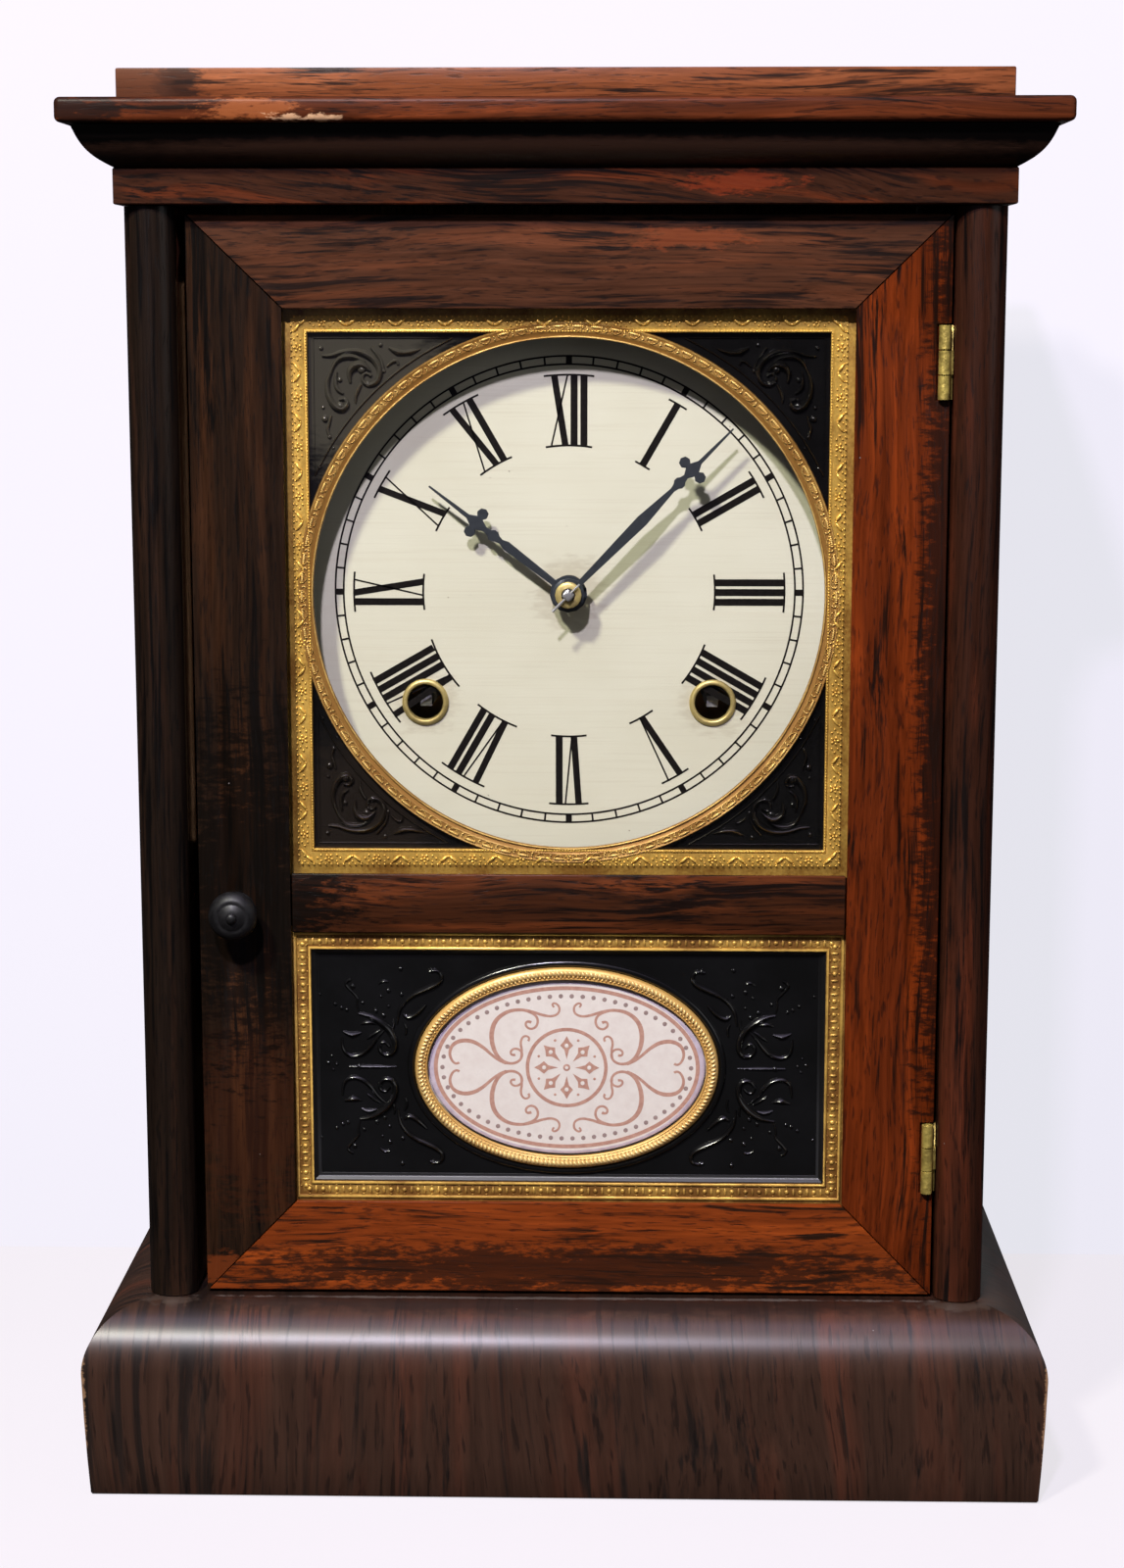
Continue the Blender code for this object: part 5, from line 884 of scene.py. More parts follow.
def stamp_along(shape, x_range, z_range, inset, pitch, stamp):
    """Repeats a stamp round a rectangle, a whole number of times on each side."""
    left, right = x_range[0] + inset, x_range[1] - inset
    low, high = z_range[0] + inset, z_range[1] - inset
    corners = ((left, high), (right, high), (right, low), (left, low))
    for start, end in zip(corners, corners[1:] + corners[:1]):
        count = round(math.dist(start, end) / pitch)
        angle = math.atan2(end[1] - start[1], end[0] - start[0])
        for index in range(count):
            share = (index + 0.5) / count
            place = (start[0] + (end[0] - start[0]) * share, start[1] + (end[1] - start[1]) * share)
            stamp(shape, place, angle, index)


def local(place, angle, along, aside=0.0):
    """A point moved along and across a band."""
    return (
        place[0] + along * math.cos(angle) - aside * math.sin(angle),
        place[1] + along * math.sin(angle) + aside * math.cos(angle),
    )


print("bands can be stamped")

# %% [markdown]
# The gilt sash of the upper light is a stamped band: a plain olive strip outside, then flowers, pairs of
# leaves and dots in turn, and a bright thin line inside.


# %% Upper gilt sash
def sash_pattern(shape, place, angle, index):
    """A flower with five petals, pairs of dots and a pair of leaves that lean together."""
    bead(shape, place, 8.0, (0.36, 0.5, 0.36))
    for petal in range(5):
        turn = angle + math.radians(72 * petal + 18)
        bead(shape, local(place, turn, 0.82), 8.03, (0.48, 0.45, 0.34), turn)
    for side in (-1, 1):
        for along, aside, size in ((2.0, 0.75, 0.3), (2.0, -0.75, 0.3), (2.9, 0.0, 0.34)):
            bead(shape, local(place, angle, side * along, aside), 8.03, (size, 0.42, size))
        leaf = local(place, angle, side * 4.85, 0.1)
        bead(shape, leaf, 8.0, (1.35, 0.6, 0.4), angle - side * math.radians(38), 2)
        bead(shape, local(place, angle, side * 3.9, 1.0), 8.03, (0.26, 0.4, 0.26))
    for aside, size, height in ((-0.55, 0.36, 0.45), (0.85, 0.28, 0.4)):
        bead(shape, local(place, angle, 6.1, aside), 8.03, (size, height, size))


def edge_dots(shape, place, angle, index):
    """One small dot of the rows along the band's edges."""
    bead(shape, place, 7.85, (0.26, 0.28, 0.3))


SASH_X, SASH_Z = (-70.1, 71.9), (156.9, 299.3)
SASH_PROFILE = numbers(
    "0 9.2, 0 8.35, 2.6 8.35, 2.85 8.1, 3.1 8.05, 5.9 8.05, 6.1 8.15, 6.2 8, 6.4 7.9, 6.75 7.9, 6.9 8.05,"
    "6.9 9.2"
)
shape = frame_band(bmesh.new(), SASH_X, SASH_Z, SASH_PROFILE)
stamp_along(shape, SASH_X, SASH_Z, 4.5, 12.2, sash_pattern)
stamp_along(shape, SASH_X, SASH_Z, 6.6, 0.72, edge_dots)
stamp_along(shape, SASH_X, SASH_Z, 3.0, 1.5, edge_dots)
add_piece("upper_sash_stamped", shape, [UPPER_GILT], "door", "upper_gilt_sash", STAMPED)
print("upper sash is stamped")

# %% [markdown]
# The ring round the dial lies over the sash. It is stamped with small shells: a ribbed ridge outside, a
# hollow, and a curved rim inside, with a small clasp between two shells. Inside runs a thin bright lip.


# %% Dial ring
def spun(shape, profile, centre, steps=64, closed=False):
    """Turns (radius, setback) pairs about the Y direction through an (x, z) centre."""
    verts = [shape.verts.new((centre[0] + radius, depth(setback), centre[1])) for radius, setback in profile]
    pairs = list(zip(verts, verts[1:] + verts[:1])) if closed else list(zip(verts, verts[1:]))
    edges = [shape.edges.new(pair) for pair in pairs]
    bmesh.ops.spin(
        shape, geom=verts + edges, cent=(centre[0], 0, centre[1]), axis=(0, 1, 0),
        angle=2 * math.pi, steps=steps, use_merge=True,
    )
    return shape


RING_CENTRE = (0.9, 227.7)
RING_PROFILE = numbers(
    "63.5 9.2, 63.5 7.85, 63.6 7.65, 63.8 7.62, 63.95 7.8, 64.05 8.1, 64.6 8, 65.1 7.75, 65.2 7.9,"
    "65.9 7.82, 66.8 7.9, 66.95 7.75, 67.15 7.75, 67.4 8.3, 67.4 9.2"
)
RIDGE, RIM = 66.3, 66.0
SHELLS = 90
shape = spun(bmesh.new(), RING_PROFILE, RING_CENTRE, 180, closed=True)
for index in range(SHELLS):
    angle = 2 * math.pi * index / SHELLS
    bead(shape, local(RING_CENTRE, angle, RIDGE), 7.85, (0.34, 0.42, 1.5), angle, 2)
    for side in (-1.25, -0.75, -0.25, 0.25, 0.75, 1.25):
        bead(shape, local(RING_CENTRE, angle + side / 66.4, RIDGE), 7.7, (0.4, 0.36, 0.15), angle)
    for step in (-1.0, -0.5, 0.0, 0.5, 1.0):
        rim = local(RING_CENTRE, angle + 1.25 * step / RIM, RIM - 0.8 * (1 - step * step))
        bead(shape, rim, 7.75, (0.16, 0.3, 0.44), angle - math.atan(1.28 * step))
    for lean in (-1, 1):
        clasp = local(RING_CENTRE, angle + math.pi / SHELLS, 65.8 + lean * 0.3)
        bead(shape, clasp, 7.75, (0.5, 0.36, 0.17), angle + lean * math.radians(40))
add_piece("dial_ring_stamped", shape, [RING_GILT], "door", "dial_ring", STAMPED)
print("ring shells:", SHELLS)

# %% [markdown]
# Scrolls are drawn as strokes that swell and taper, like a sign painter's. A curve with a radius at each
# point makes such a stroke, and the finished strokes are flattened on to the sheet.


# %% Drawn strokes
def drawn_strokes(lines, setback, flatten, centre=(0.0, 0.0)):
    """Tapering round strokes through (x, z, half width) points, flattened on to a plane."""
    curve = bpy.data.curves.new("stroke", "CURVE")
    curve.dimensions = "3D"
    curve.bevel_depth = 1.0
    curve.bevel_resolution = 1
    curve.resolution_u = 5
    curve.use_fill_caps = True
    for line in lines:
        spline = curve.splines.new("NURBS")
        spline.points.add(len(line) - 1)
        for point, (x, z, half_width) in zip(spline.points, line):
            point.co = (x + centre[0], 0.0, z + centre[1], 1.0)
            point.radius = half_width
        spline.order_u = 3
        spline.use_endpoint_u = True
    holder = bpy.data.objects.new("stroke", curve)
    bpy.context.scene.collection.objects.link(holder)
    seen = holder.evaluated_get(bpy.context.evaluated_depsgraph_get())
    mesh = bpy.data.meshes.new_from_object(seen)
    shape = bmesh.new()
    shape.from_mesh(mesh)
    bpy.data.objects.remove(holder)
    bpy.data.curves.remove(curve)
    bpy.data.meshes.remove(mesh)
    bmesh.ops.scale(shape, verts=shape.verts[:], vec=(1, flatten, 1))
    bmesh.ops.translate(shape, verts=shape.verts[:], vec=(0, depth(setback), 0))
    return shape


print("strokes can be drawn")

# %% [markdown]
# The four spandrels are pressed in one sheet of black metal. Each has a thin raised border and a spray of
# scrolls with leaves and bead ends. The strokes are drawn from the sash's corner, and mirrored. A stroke
# is a row of points: across, down and half width.

# %% Spandrels
CORNER_STROKES = [numbers(stroke) for stroke in (
    "3.5 5.7 0.3, 5.5 5.8 0.45, 7.8 4.9 0.55, 10.5 4.4 0.6, 13.1 4.6 0.7, 15.8 5.9 0.8, 17.4 8 0.75, "
    "17.8 10.1 0.65, 16.8 12.2 0.6, 14.9 12.9 0.5, 13.4 12 0.45, 13.3 10.4 0.4, 14.6 9.7 0.35, "
    "15.5 10.6 0.4",
    "6 8.8 0.35, 6.8 7 0.5, 8.6 5.9 0.6, 10.8 5.8 0.6, 12.6 6.3 0.5, 14 7.2 0.3",
    "10.4 12.2 0.3, 9.9 10 0.6, 11 8.2 0.9, 12.9 7.6 1, 14.6 8.5 0.6, 15.4 9.4 0.25",
    "6.2 8.4 0.35, 4.9 11 0.5, 4.6 13.6 0.6, 5.1 15.9 0.7, 6.6 18.2 0.8, 8.6 18.8 0.7, 9.8 17.3 0.55, "
    "8.9 15.9 0.4, 7.6 16.4 0.4",
    "7 9.6 0.3, 6.6 12 0.5, 7.2 14.2 0.5, 8.6 14.9 0.3",
    "5.5 20.3 0.3, 5 22.2 0.4, 4.4 23.8 0.4, 5.1 25.2 0.35",
    "13 12.6 0.35, 12 14.2 0.5, 11.5 16 0.4, 11.7 17.2 0.2",
    "15.6 3.7 0.3, 17 5.2 0.4, 18.3 7.2 0.4, 18.6 9.2 0.35",
    "20 3.7 0.3, 21.8 4.7 0.75, 23.4 4.9 0.55, 25.7 4.7 0.6, 27.9 3.9 0.12",
    "19.4 8.3 0.25, 20.6 7.1 0.4, 22 6.7 0.4, 22.2 7.8 0.3",
)]
CORNER_BEADS = numbers(
    "3.3 3.8 0.5, 14.8 12.6 0.7, 7.8 11.5 0.55, 7.9 17.9 0.95, 3.6 18.3 0.4, 4 21 0.75, 5.1 25.4 0.5, "
    "6 28.2 0.3, 2.6 33 0.3, 17.9 3 0.5, 18.6 9.3 0.5, 21.8 4.6 0.7, 13.2 9 0.9"
)
SIGHT_X, SIGHT_Z = (-63.2, 65.0), (163.8, 292.4)
SCROLL_PLANE = 9.45
BORDER = 1.3
REACH = 69.5
shape = bmesh.new()
whole = []
for sx, corner_x in ((1, SIGHT_X[0]), (-1, SIGHT_X[1])):
    for sz, corner_z in ((-1, SIGHT_Z[1]), (1, SIGHT_Z[0])):
        for line in CORNER_STROKES:
            whole.append([(corner_x + sx * x, corner_z + sz * z, w * 1.25) for x, z, w in line])
        top, edge = corner_z + sz * BORDER, corner_x + sx * BORDER
        end_x = RING_CENTRE[0] - sx * math.sqrt(REACH ** 2 - (top - RING_CENTRE[1]) ** 2)
        end_z = RING_CENTRE[1] - sz * math.sqrt(REACH ** 2 - (edge - RING_CENTRE[0]) ** 2)
        whole.append([(end_x, top, 0.18), ((end_x + edge) / 2, top, 0.22), (edge, top, 0.22)])
        whole.append([(edge, end_z, 0.18), (edge, (end_z + top) / 2, 0.22), (edge, top, 0.22)])
        first = math.atan2(top - RING_CENTRE[1], end_x - RING_CENTRE[0])
        last = math.atan2(end_z - RING_CENTRE[1], edge - RING_CENTRE[0])
        swing = (last - first + math.pi) % (2 * math.pi) - math.pi
        whole.append([(*local(RING_CENTRE, first + swing * step / 8, REACH), 0.3) for step in range(9)])
        for x, z, size in CORNER_BEADS:
            sizes = (size * 1.15, size * 1.1, size * 1.15)
            bead(shape, (corner_x + sx * x, corner_z + sz * z), SCROLL_PLANE, sizes, detail=2)
scrolls = drawn_strokes(whole, SCROLL_PLANE, 1.2)
add_piece("spandrel_scrolls", scrolls, [SPANDREL_LACQUER], "door", soft=STAMPED)
add_piece("spandrel_beads", shape, [SPANDREL_LACQUER], "door", soft=STAMPED)
print("spandrel strokes:", len(whole))

# %% [markdown]
# The lower light has a narrower gilt sash with beads and bars, a black pressed panel with a sloping
# border, and an oval gilt ring round a small printed tablet.


# %% Lower sash
def bead_and_bar(shape, place, angle, index):
    """A round bead, or a short bar across the band, in turn."""
    if index % 2:
        bead(shape, place, 5.85, (0.42, 0.36, 1.05), angle)
    else:
        bead(shape, place, 5.85, (0.7, 0.4, 0.7), angle)
        for side in (1.15, -1.15):
            bead(shape, local(place, angle, 0.0, side), 5.9, (0.3, 0.25, 0.2), angle)


LOW_X, LOW_Z = (-70.1, 71.9), (71.5, 144.2)
LOW_PROFILE = numbers(
    "0 7.2, 0 6, 1.4 6, 1.6 5.6, 1.9 5.5, 2.15 5.7, 2.3 6.05, 3.4 5.85, 4.5 5.85, 5.1 6.05, 5.25 5.6,"
    "5.5 5.4, 5.8 5.5, 5.9 5.8, 5.9 7.2"
)
shape = frame_band(bmesh.new(), LOW_X, LOW_Z, LOW_PROFILE)
stamp_along(shape, LOW_X, LOW_Z, 3.75, 1.75, bead_and_bar)
add_piece("lower_sash_stamped", shape, [LOWER_GILT], "door", "lower_gilt_sash", STAMPED)
print("lower sash is stamped")

# %% [markdown]
# Everything round the tablet follows an ellipse. A section is first spun as a circle of a handy radius,
# and then each of its points is moved to the same distance outside the ellipse.

# %% Ellipses
OVAL = (0.5, 107.35)
CIRCLE = 100.0


def on_ellipse(half, angle, out=0.0):
    """The point this far outside an ellipse, and the direction of its normal."""
    x, z = half[0] * math.cos(angle), half[1] * math.sin(angle)
    normal = Vector((math.cos(angle) / half[0], math.sin(angle) / half[1])).normalized()
    return (OVAL[0] + x + normal.x * out, OVAL[1] + z + normal.y * out), math.atan2(normal.y, normal.x)


def ellipse_band(half, profile, steps=160):
    """A band round an ellipse, with a section of (out, setback) pairs."""
    circle = [(CIRCLE + out, setback) for out, setback in profile]
    shape = spun(bmesh.new(), circle, (0.0, 0.0), steps, closed=True)
    for vert in shape.verts:
        out = math.hypot(vert.co.x, vert.co.z) - CIRCLE
        place = on_ellipse(half, math.atan2(vert.co.z, vert.co.x), out)[0]
        vert.co = (place[0], vert.co.y, place[1])
    return shape


def spaced(half, count):
    """Angles of marks at equal distances along an ellipse."""
    turns = [2 * math.pi * step / 2000 for step in range(2000)]
    lengths = [math.hypot(half[0] * math.sin(turn), half[1] * math.cos(turn)) for turn in turns]
    total, passed, chosen = sum(lengths), 0.0, []
    for turn, length in zip(turns, lengths):
        if passed >= total * len(chosen) / count:
            chosen.append(turn)
        passed += length
    return chosen


print("bands can follow an ellipse")

# %% [markdown]
# The oval ring is a half-round band with slanting grains, like a twisted rope, and a row of small dots
# inside it.

# %% Oval ring
RING_HALF = (37.1, 24.7)
shape = ellipse_band(RING_HALF, numbers(
    "-1.6 7.2, -1.6 6.4, -1.5 6.2, -1.3 6.15, -1.1 6.4, -0.8 6.2, 0 5.95, 0.8 6, 1.3 6.3, 1.6 6.8, 1.6 7.2"
))
for angle in spaced(RING_HALF, 184):
    place, turn = on_ellipse(RING_HALF, angle, 0.25)
    bead(shape, place, 5.9, (0.7, 0.45, 0.34), turn + math.radians(30), 2)
    place, turn = on_ellipse(RING_HALF, angle + 0.01, -0.75)
    bead(shape, place, 6.15, (0.3, 0.35, 0.3), turn)
add_piece("oval_ring_stamped", shape, [OVAL_GILT], "door", "oval_ring", STAMPED)
print("oval ring is stamped")

# %% [markdown]
# The panel is pressed in black sheet. A satin border slopes in from the sash, a raised rim runs round the
# oval.

# %% Panel borders
shape = frame_band(bmesh.new(), (-64.2, 66.0), (77.4, 138.3), numbers(
    "-1 7.6, -1 6.55, 0 6.45, 0.25 6.5, 0.55 6.75, 0.85 7.05, 1.25 7.3, 1.75 7.45, 1.9 7.6"
))
add_piece("panel_border", shape, [SATIN_LACQUER], "door", soft=25.0)
shape = ellipse_band(RING_HALF, numbers("1.7 7.6, 1.8 7, 2.2 6.6, 2.8 6.55, 3.3 6.9, 3.6 7.6"))
add_piece("oval_border", shape, [LACQUER], "door", soft=40.0)
print("panel borders are in place")

# %% [markdown]
# Scrolls with leaves and beads fill the panel's corners. The strokes are drawn for one corner, from the
# middle of the oval, and mirrored.

# %% Panel scrolls
CORNERS = ((1, 1), (-1, 1), (1, -1), (-1, -1))


def mirrored(lines, widen=1.0):
    """The same strokes mirrored left and right, up and down, and wider by a factor."""
    return [[(sx * x, sz * z, w * widen) for x, z, w in line] for sx, sz in CORNERS for line in lines]


PANEL_STROKES = [numbers(stroke) for stroke in (
    "-35 25 0.4, -33.6 25.4 0.45, -32 24.8 0.5, -31.7 23 0.6, -33 21.6 0.7, -36 20.2 0.7, -39 18.9 0.6, "
    "-41.5 16.8 0.55, -43 14 0.45, -43.2 11 0.2",
    "-35.8 16.3 0.3, -37.2 14.8 0.6, -39.2 13.2 0.65, -40.9 12.9 0.6, -41.6 13.9 0.3",
    "-53 13.9 0.3, -50.8 13.6 0.5, -48.4 12.5 0.85, -45.6 10.4 0.9, -43.9 7.6 0.8, -43.6 4.9 0.75, "
    "-44.8 3.2 0.65, -46.8 3.2 0.55, -48 4.8 0.5, -47.4 6.4 0.45, -46 6.5 0.4, -45.2 5.3 0.4",
    "-57 9.2 0.2, -55.8 8.6 0.6, -54.2 8.3 0.75, -52.4 8.9 0.25",
    "-57.3 7.6 0.25, -57.4 4.4 0.45, -55 2.6 0.55, -52 3.3 0.6, -49.8 5.4 0.6, -48 8.2 0.4, "
    "-46.5 9.4 0.2",
    "-52.9 14.4 0.2, -53.6 16.4 0.3, -53 18 0.3, -55.2 20.2 0.35, -56.6 22 0.4, -54.8 22.9 0.35",
    "-55.6 0 0.3, -50 0.05 0.6, -43.4 0 0.2",
    "-52.6 11 0.2, -50.6 12.2 0.8, -48.6 11.2 0.25",
    "-51 7.2 0.2, -49.4 8.4 0.7, -47.6 9.6 0.2",
    "-44.8 9 0.2, -43.6 10.8 0.5, -44.2 12.6 0.2",
    "-41.2 8.2 0.2, -40.4 10.2 0.5, -41.6 11.6 0.2",
    "-47.8 21.6 0.2, -46.8 22.8 0.45, -45.4 22.2 0.3",
)]
PANEL_BEADS = numbers(
    "-42.2 25.6 0.5, -34.2 25.2 0.55, -42 18.9 0.45, -51.9 16.7 0.4, -58.9 16.3 0.4, -57.3 15.3 0.42, "
    "-56 14.8 0.42, -40.8 13.2 0.55, -62.8 18.8 0.3, -46.6 13.4 0.5, -48.6 14.6 0.5, -45.3 15.8 0.35, "
    "-47.2 18.4 0.3, -45.3 19.9 0.5, -54.4 21 0.55"
)
MIDDLE_BEADS = numbers("-60.9 0.9 0.5, -59.9 2.7 0.35, -59.6 -0.9 0.35, -58.7 0.6 0.4, -53 0 0.7")
whole = mirrored(PANEL_STROKES, 1.2)
scrolls = drawn_strokes(whole, 7.5, 1.1, OVAL)
add_piece("panel_scrolls", scrolls, [LACQUER], "door", soft=STAMPED)
shape = bmesh.new()
for sx in (-1, 1):
    for sz in (-1, 1):
        for x, z, size in PANEL_BEADS:
            place = (OVAL[0] - sx * x, OVAL[1] + sz * z)
            bead(shape, place, 7.45, (size * 1.2, size, size * 1.2), detail=2)
    for x, z, size in MIDDLE_BEADS:
        bead(shape, (OVAL[0] - sx * x, OVAL[1] + z), 7.45, (size, size * 0.9, size), detail=2)
add_piece("panel_beads", shape, [LACQUER], "door", soft=STAMPED)
print("panel strokes:", len(whole))

# %% [markdown]
# The tablet is enamelled in pinkish white, and its rim, which is a little lilac, is rounded off.

# %% Tablet
TABLET_HALF = (35.25, 22.85)
FRONT = 7.35
FACE = [(0.0, 9.0), (1.0, 9.0), (1.0, 7.75), (0.992, 7.5), (0.978, 7.37), (0.96, FRONT), (0.0, FRONT)]
shape = spun(bmesh.new(), [(share * CIRCLE, setback) for share, setback in FACE], (0.0, 0.0), 128)
for vert in shape.verts:
    vert.co.x = OVAL[0] + vert.co.x * TABLET_HALF[0] / CIRCLE
    vert.co.z = OVAL[1] + vert.co.z * TABLET_HALF[1] / CIRCLE
for face in shape.faces:
    middle = face.calc_center_median()
    share = math.hypot((middle.x - OVAL[0]) / TABLET_HALF[0], (middle.z - OVAL[1]) / TABLET_HALF[1])
    face.material_index = 0 if share < 0.9 and middle.y < depth(8.0) else 1
add_piece("tablet_face", shape, [TABLET_LOOK, TABLET_RIM_LOOK], "door", soft=30.0)
print("tablet faces:", len(FACE) - 1)

# %% [markdown]
# The rose-brown print lies just proud of the enamel: scrolls, an oval line, a ring of dots and a rosette
# of eight diamonds. Thin raised strokes take the lamp's light as real print does.

# %% Tablet print
TABLET_STROKES = [numbers(stroke) for stroke in (
    "-3.2 15.8 0.3, -3.9 16.5 0.3, -3 17 0.32, -1.8 16 0.33, -1.9 14.2 0.33, -3.7 13.3 0.36, "
    "-6.2 13.7 0.4, -9 14.7 0.42, -12 15.2 0.45, -15.4 14.6 0.55, -18.2 12.3 0.66, -19.2 9.2 0.7, "
    "-19 5.9 0.66, -17.8 2.9 0.55, -15.8 1.2 0.45, -13.6 0.9 0.4, -11.8 1.8 0.38, -11.2 3.6 0.36, "
    "-12 4.7 0.33, -13.4 5 0.33, -14.4 4.1 0.33, -14 3.1 0.33, -13.1 3.3 0.4",
    "-11.7 2.2 0.3, -11.3 4.4 0.36, -11.8 6.2 0.36, -11.4 7.8 0.33, -10.3 8.4 0.3, -9.3 7.6 0.3, "
    "-9.8 6.9 0.38",
    "-12 15.2 0.35, -8.8 14.5 0.36, -7.2 12.8 0.38, -7.6 10.6 0.36, -9.3 9.9 0.34, -10.6 11 0.34, "
    "-10.1 12.3 0.34, -9 11.8 0.45",
    "-27.4 1.2 0.4, -28 0.7 0.34, -29.2 1.4 0.36, -30 3.5 0.42, -29.2 5.9 0.52, -26.8 7.1 0.62, "
    "-23.8 6.8 0.6, -21.2 5.2 0.5, -18.9 3 0.42, -16.9 1.5 0.36, -15.4 0.9 0.28",
)]
PETAL = numbers("8.3 0, 6.9 0.75, 5.8 1.65, 4.7 0.62, 2.2 0, 4.7 -0.62, 5.8 -1.65, 6.9 -0.75")


def joined(shape, other):
    """Adds one shape to another."""
    mesh = bpy.data.meshes.new("joined")
    other.to_mesh(mesh)
    other.free()
    shape.from_mesh(mesh)
    bpy.data.meshes.remove(mesh)


shape = drawn_strokes(mirrored(TABLET_STROKES), FRONT, 0.05, OVAL)
for half, width, steps in (((33.4, 20.8), 1.0, 128), ((10.0, 10.0), 0.9, 64)):
    line = [(-width / 2, FRONT + 0.05), (-width / 2, FRONT - 0.03), (width / 2, FRONT - 0.03)]
    joined(shape, ellipse_band(half, line + [(width / 2, FRONT + 0.05)], steps))
turns = [math.pi * petal / 4 for petal in range(8)]
for turn in turns:
    section = []
    for along, aside in PETAL:
        x, z = local(OVAL, turn, along, aside)
        section.append((x, depth(FRONT + 0.04), z))
    stretched(shape, section, (0, -0.07, 0))
    bead(shape, local(OVAL, turn + math.pi / 8, 7.7), FRONT, (0.36, 0.03, 0.36), detail=2)
bead(shape, OVAL, FRONT, (0.95, 0.04, 0.95), detail=2)
add_piece("tablet_print", shape, [ROSE_LOOK], "door", soft=STAMPED)

shape = bmesh.new()
for turn in turns:
    bead(shape, local(OVAL, turn, 5.75), FRONT - 0.03, (0.55, 0.03, 0.55), detail=2)
bead(shape, OVAL, FRONT - 0.03, (0.45, 0.03, 0.45), detail=2)
add_piece("tablet_petal_dots", shape, [TABLET_LOOK], "door", soft=STAMPED)

shape = bmesh.new()
for angle in spaced((31.7, 18.7), 58):
    bead(shape, on_ellipse((31.7, 18.7), angle)[0], FRONT, (0.6, 0.03, 0.6), detail=2)
add_piece("tablet_dots", shape, [GREY_DOT_LOOK], "door", soft=STAMPED)
print("the tablet is printed")

# %% [markdown]
# ## Dial
# The numerals and the minute track are printed in black, as arcs about the dial's centre and as bars that
# point to it.

# %% Arcs and bars
INK = 17.97
HEAD, FOOT = 54.15, 36.7


def ink_arc(shape, radius, width, start, end, steps):
    """A thin flat arc about the dial's centre. Angles are clockwise from the top, in radians."""
    half = width / 2
    turn = Matrix.Rotation(start, 3, "Y")
    verts = []
    for out, setback in ((-half, INK + 0.03), (-half, INK - 0.02), (half, INK - 0.02), (half, INK + 0.03)):
        spot = turn @ Vector((0.0, 0.0, radius + out))
        verts.append(shape.verts.new((DIAL[0] + spot.x, depth(setback), DIAL[1] + spot.z)))
    edges = [shape.edges.new((verts[i], verts[(i + 1) % 4])) for i in range(4)]
    bmesh.ops.spin(
        shape, geom=verts + edges, cent=(DIAL[0], 0, DIAL[1]), axis=(0, 1, 0),
        angle=end - start, steps=steps, use_merge=abs(end - start) > 6.28,
    )


def ink_bar(shape, foot, head, width, angle, low=FOOT, high=HEAD):
    """A bar from a foot offset to a head offset, as wide as the width, turned clockwise by an angle."""
    lean = Matrix((
        (width, 0, head - foot, (head + foot) / 2),
        (0, 0.05, 0, 0),
        (0, 0, high - low, (high + low) / 2),
        (0, 0, 0, 1),
    ))
    place = Matrix.Translation((DIAL[0], depth(INK), DIAL[1])) @ Matrix.Rotation(angle, 4, "Y") @ lean
    bmesh.ops.create_cube(shape, size=1.0, matrix=place)


print("arcs and bars can be printed")

# %% [markdown]
# Every numeral stands with its feet to the centre. It is a row of slanting bars, thick and thin, with a
# thin arc at its head and its feet.

# %% Numerals
LETTERS = {
    "I": (1.75, [(0.0, 0.0, 1.75)]),
    "V": (4.4, [(-0.15, -1.4, 1.65), (0.35, 2.0, 0.42)]),
    "X": (4.5, [(1.45, -1.35, 1.65), (-2.0, 2.0, 0.42)]),
}
NUMERALS = ("XII", "I", "II", "III", "IIII", "V", "VI", "VII", "VIII", "IX", "X", "XI")
shape = bmesh.new()
for hour, letters in enumerate(NUMERALS):
    angle = math.radians(30 * hour)
    gaps = [0.7 if letters[i] == letters[i + 1] == "I" else 0.5 for i in range(len(letters) - 1)]
    width = sum(LETTERS[letter][0] for letter in letters) + sum(gaps)
    left = -width / 2
    for letter, gap in zip(letters, gaps + [0.0]):
        own_width, bars = LETTERS[letter]
        middle = left + own_width / 2
        for foot, head, thick in bars:
            ink_bar(shape, middle + foot, middle + head, thick, angle)
        left += own_width + gap
    for radius, over in ((HEAD, 1.7), (FOOT, 1.2)):
        swing = (width / 2 + over) / radius
        ink_arc(shape, radius, 0.48, angle - swing, angle + swing, max(4, int(width)))
print("numerals:", len(NUMERALS))

# %% [markdown]
# The minute track is two thin rings with sixty bars between them, each fifth one thick.

# %% Minute track
TRACK = (56.75, 58.8)
for minute in range(60):
    ink_bar(shape, 0.0, 0.0, 0.48 if minute % 5 else 1.55, math.radians(6 * minute), *TRACK)
for radius in TRACK:
    ink_arc(shape, radius, 0.46, 0.0, 2 * math.pi, 180)
bmesh.ops.holes_fill(shape, edges=shape.edges[:], sides=4)
add_piece("dial_print", shape, [NUMERAL_LOOK], "case", soft=30.0)
print("the dial is printed")

# %% [markdown]
# The winding holes have brass grommets, drawn as turned rings. The square end of each winding arbor
# stands inside.

# %% Grommets
GROMMET = numbers("4.5 19.6, 4.5 17.5, 4.65 17.2, 5 17.1, 5.5 17.2, 5.9 17.6, 5.9 18, 5 18, 5 19.6")
for label, hole in zip(("grommet_left", "grommet_right"), WINDING_HOLES):
    shape = spun(bmesh.new(), GROMMET, hole, closed=True)
    add_piece(label + "_turned", shape, [PALE_BRASS], "case", label, 50.0)
print("grommets are turned")

# %% [markdown]
# ## Hands
# The hands are cut from thin blued steel. Their own outline is grown a little, because the photo's hands
# are a little stouter than the solids, and the minute hand has a brass collet.

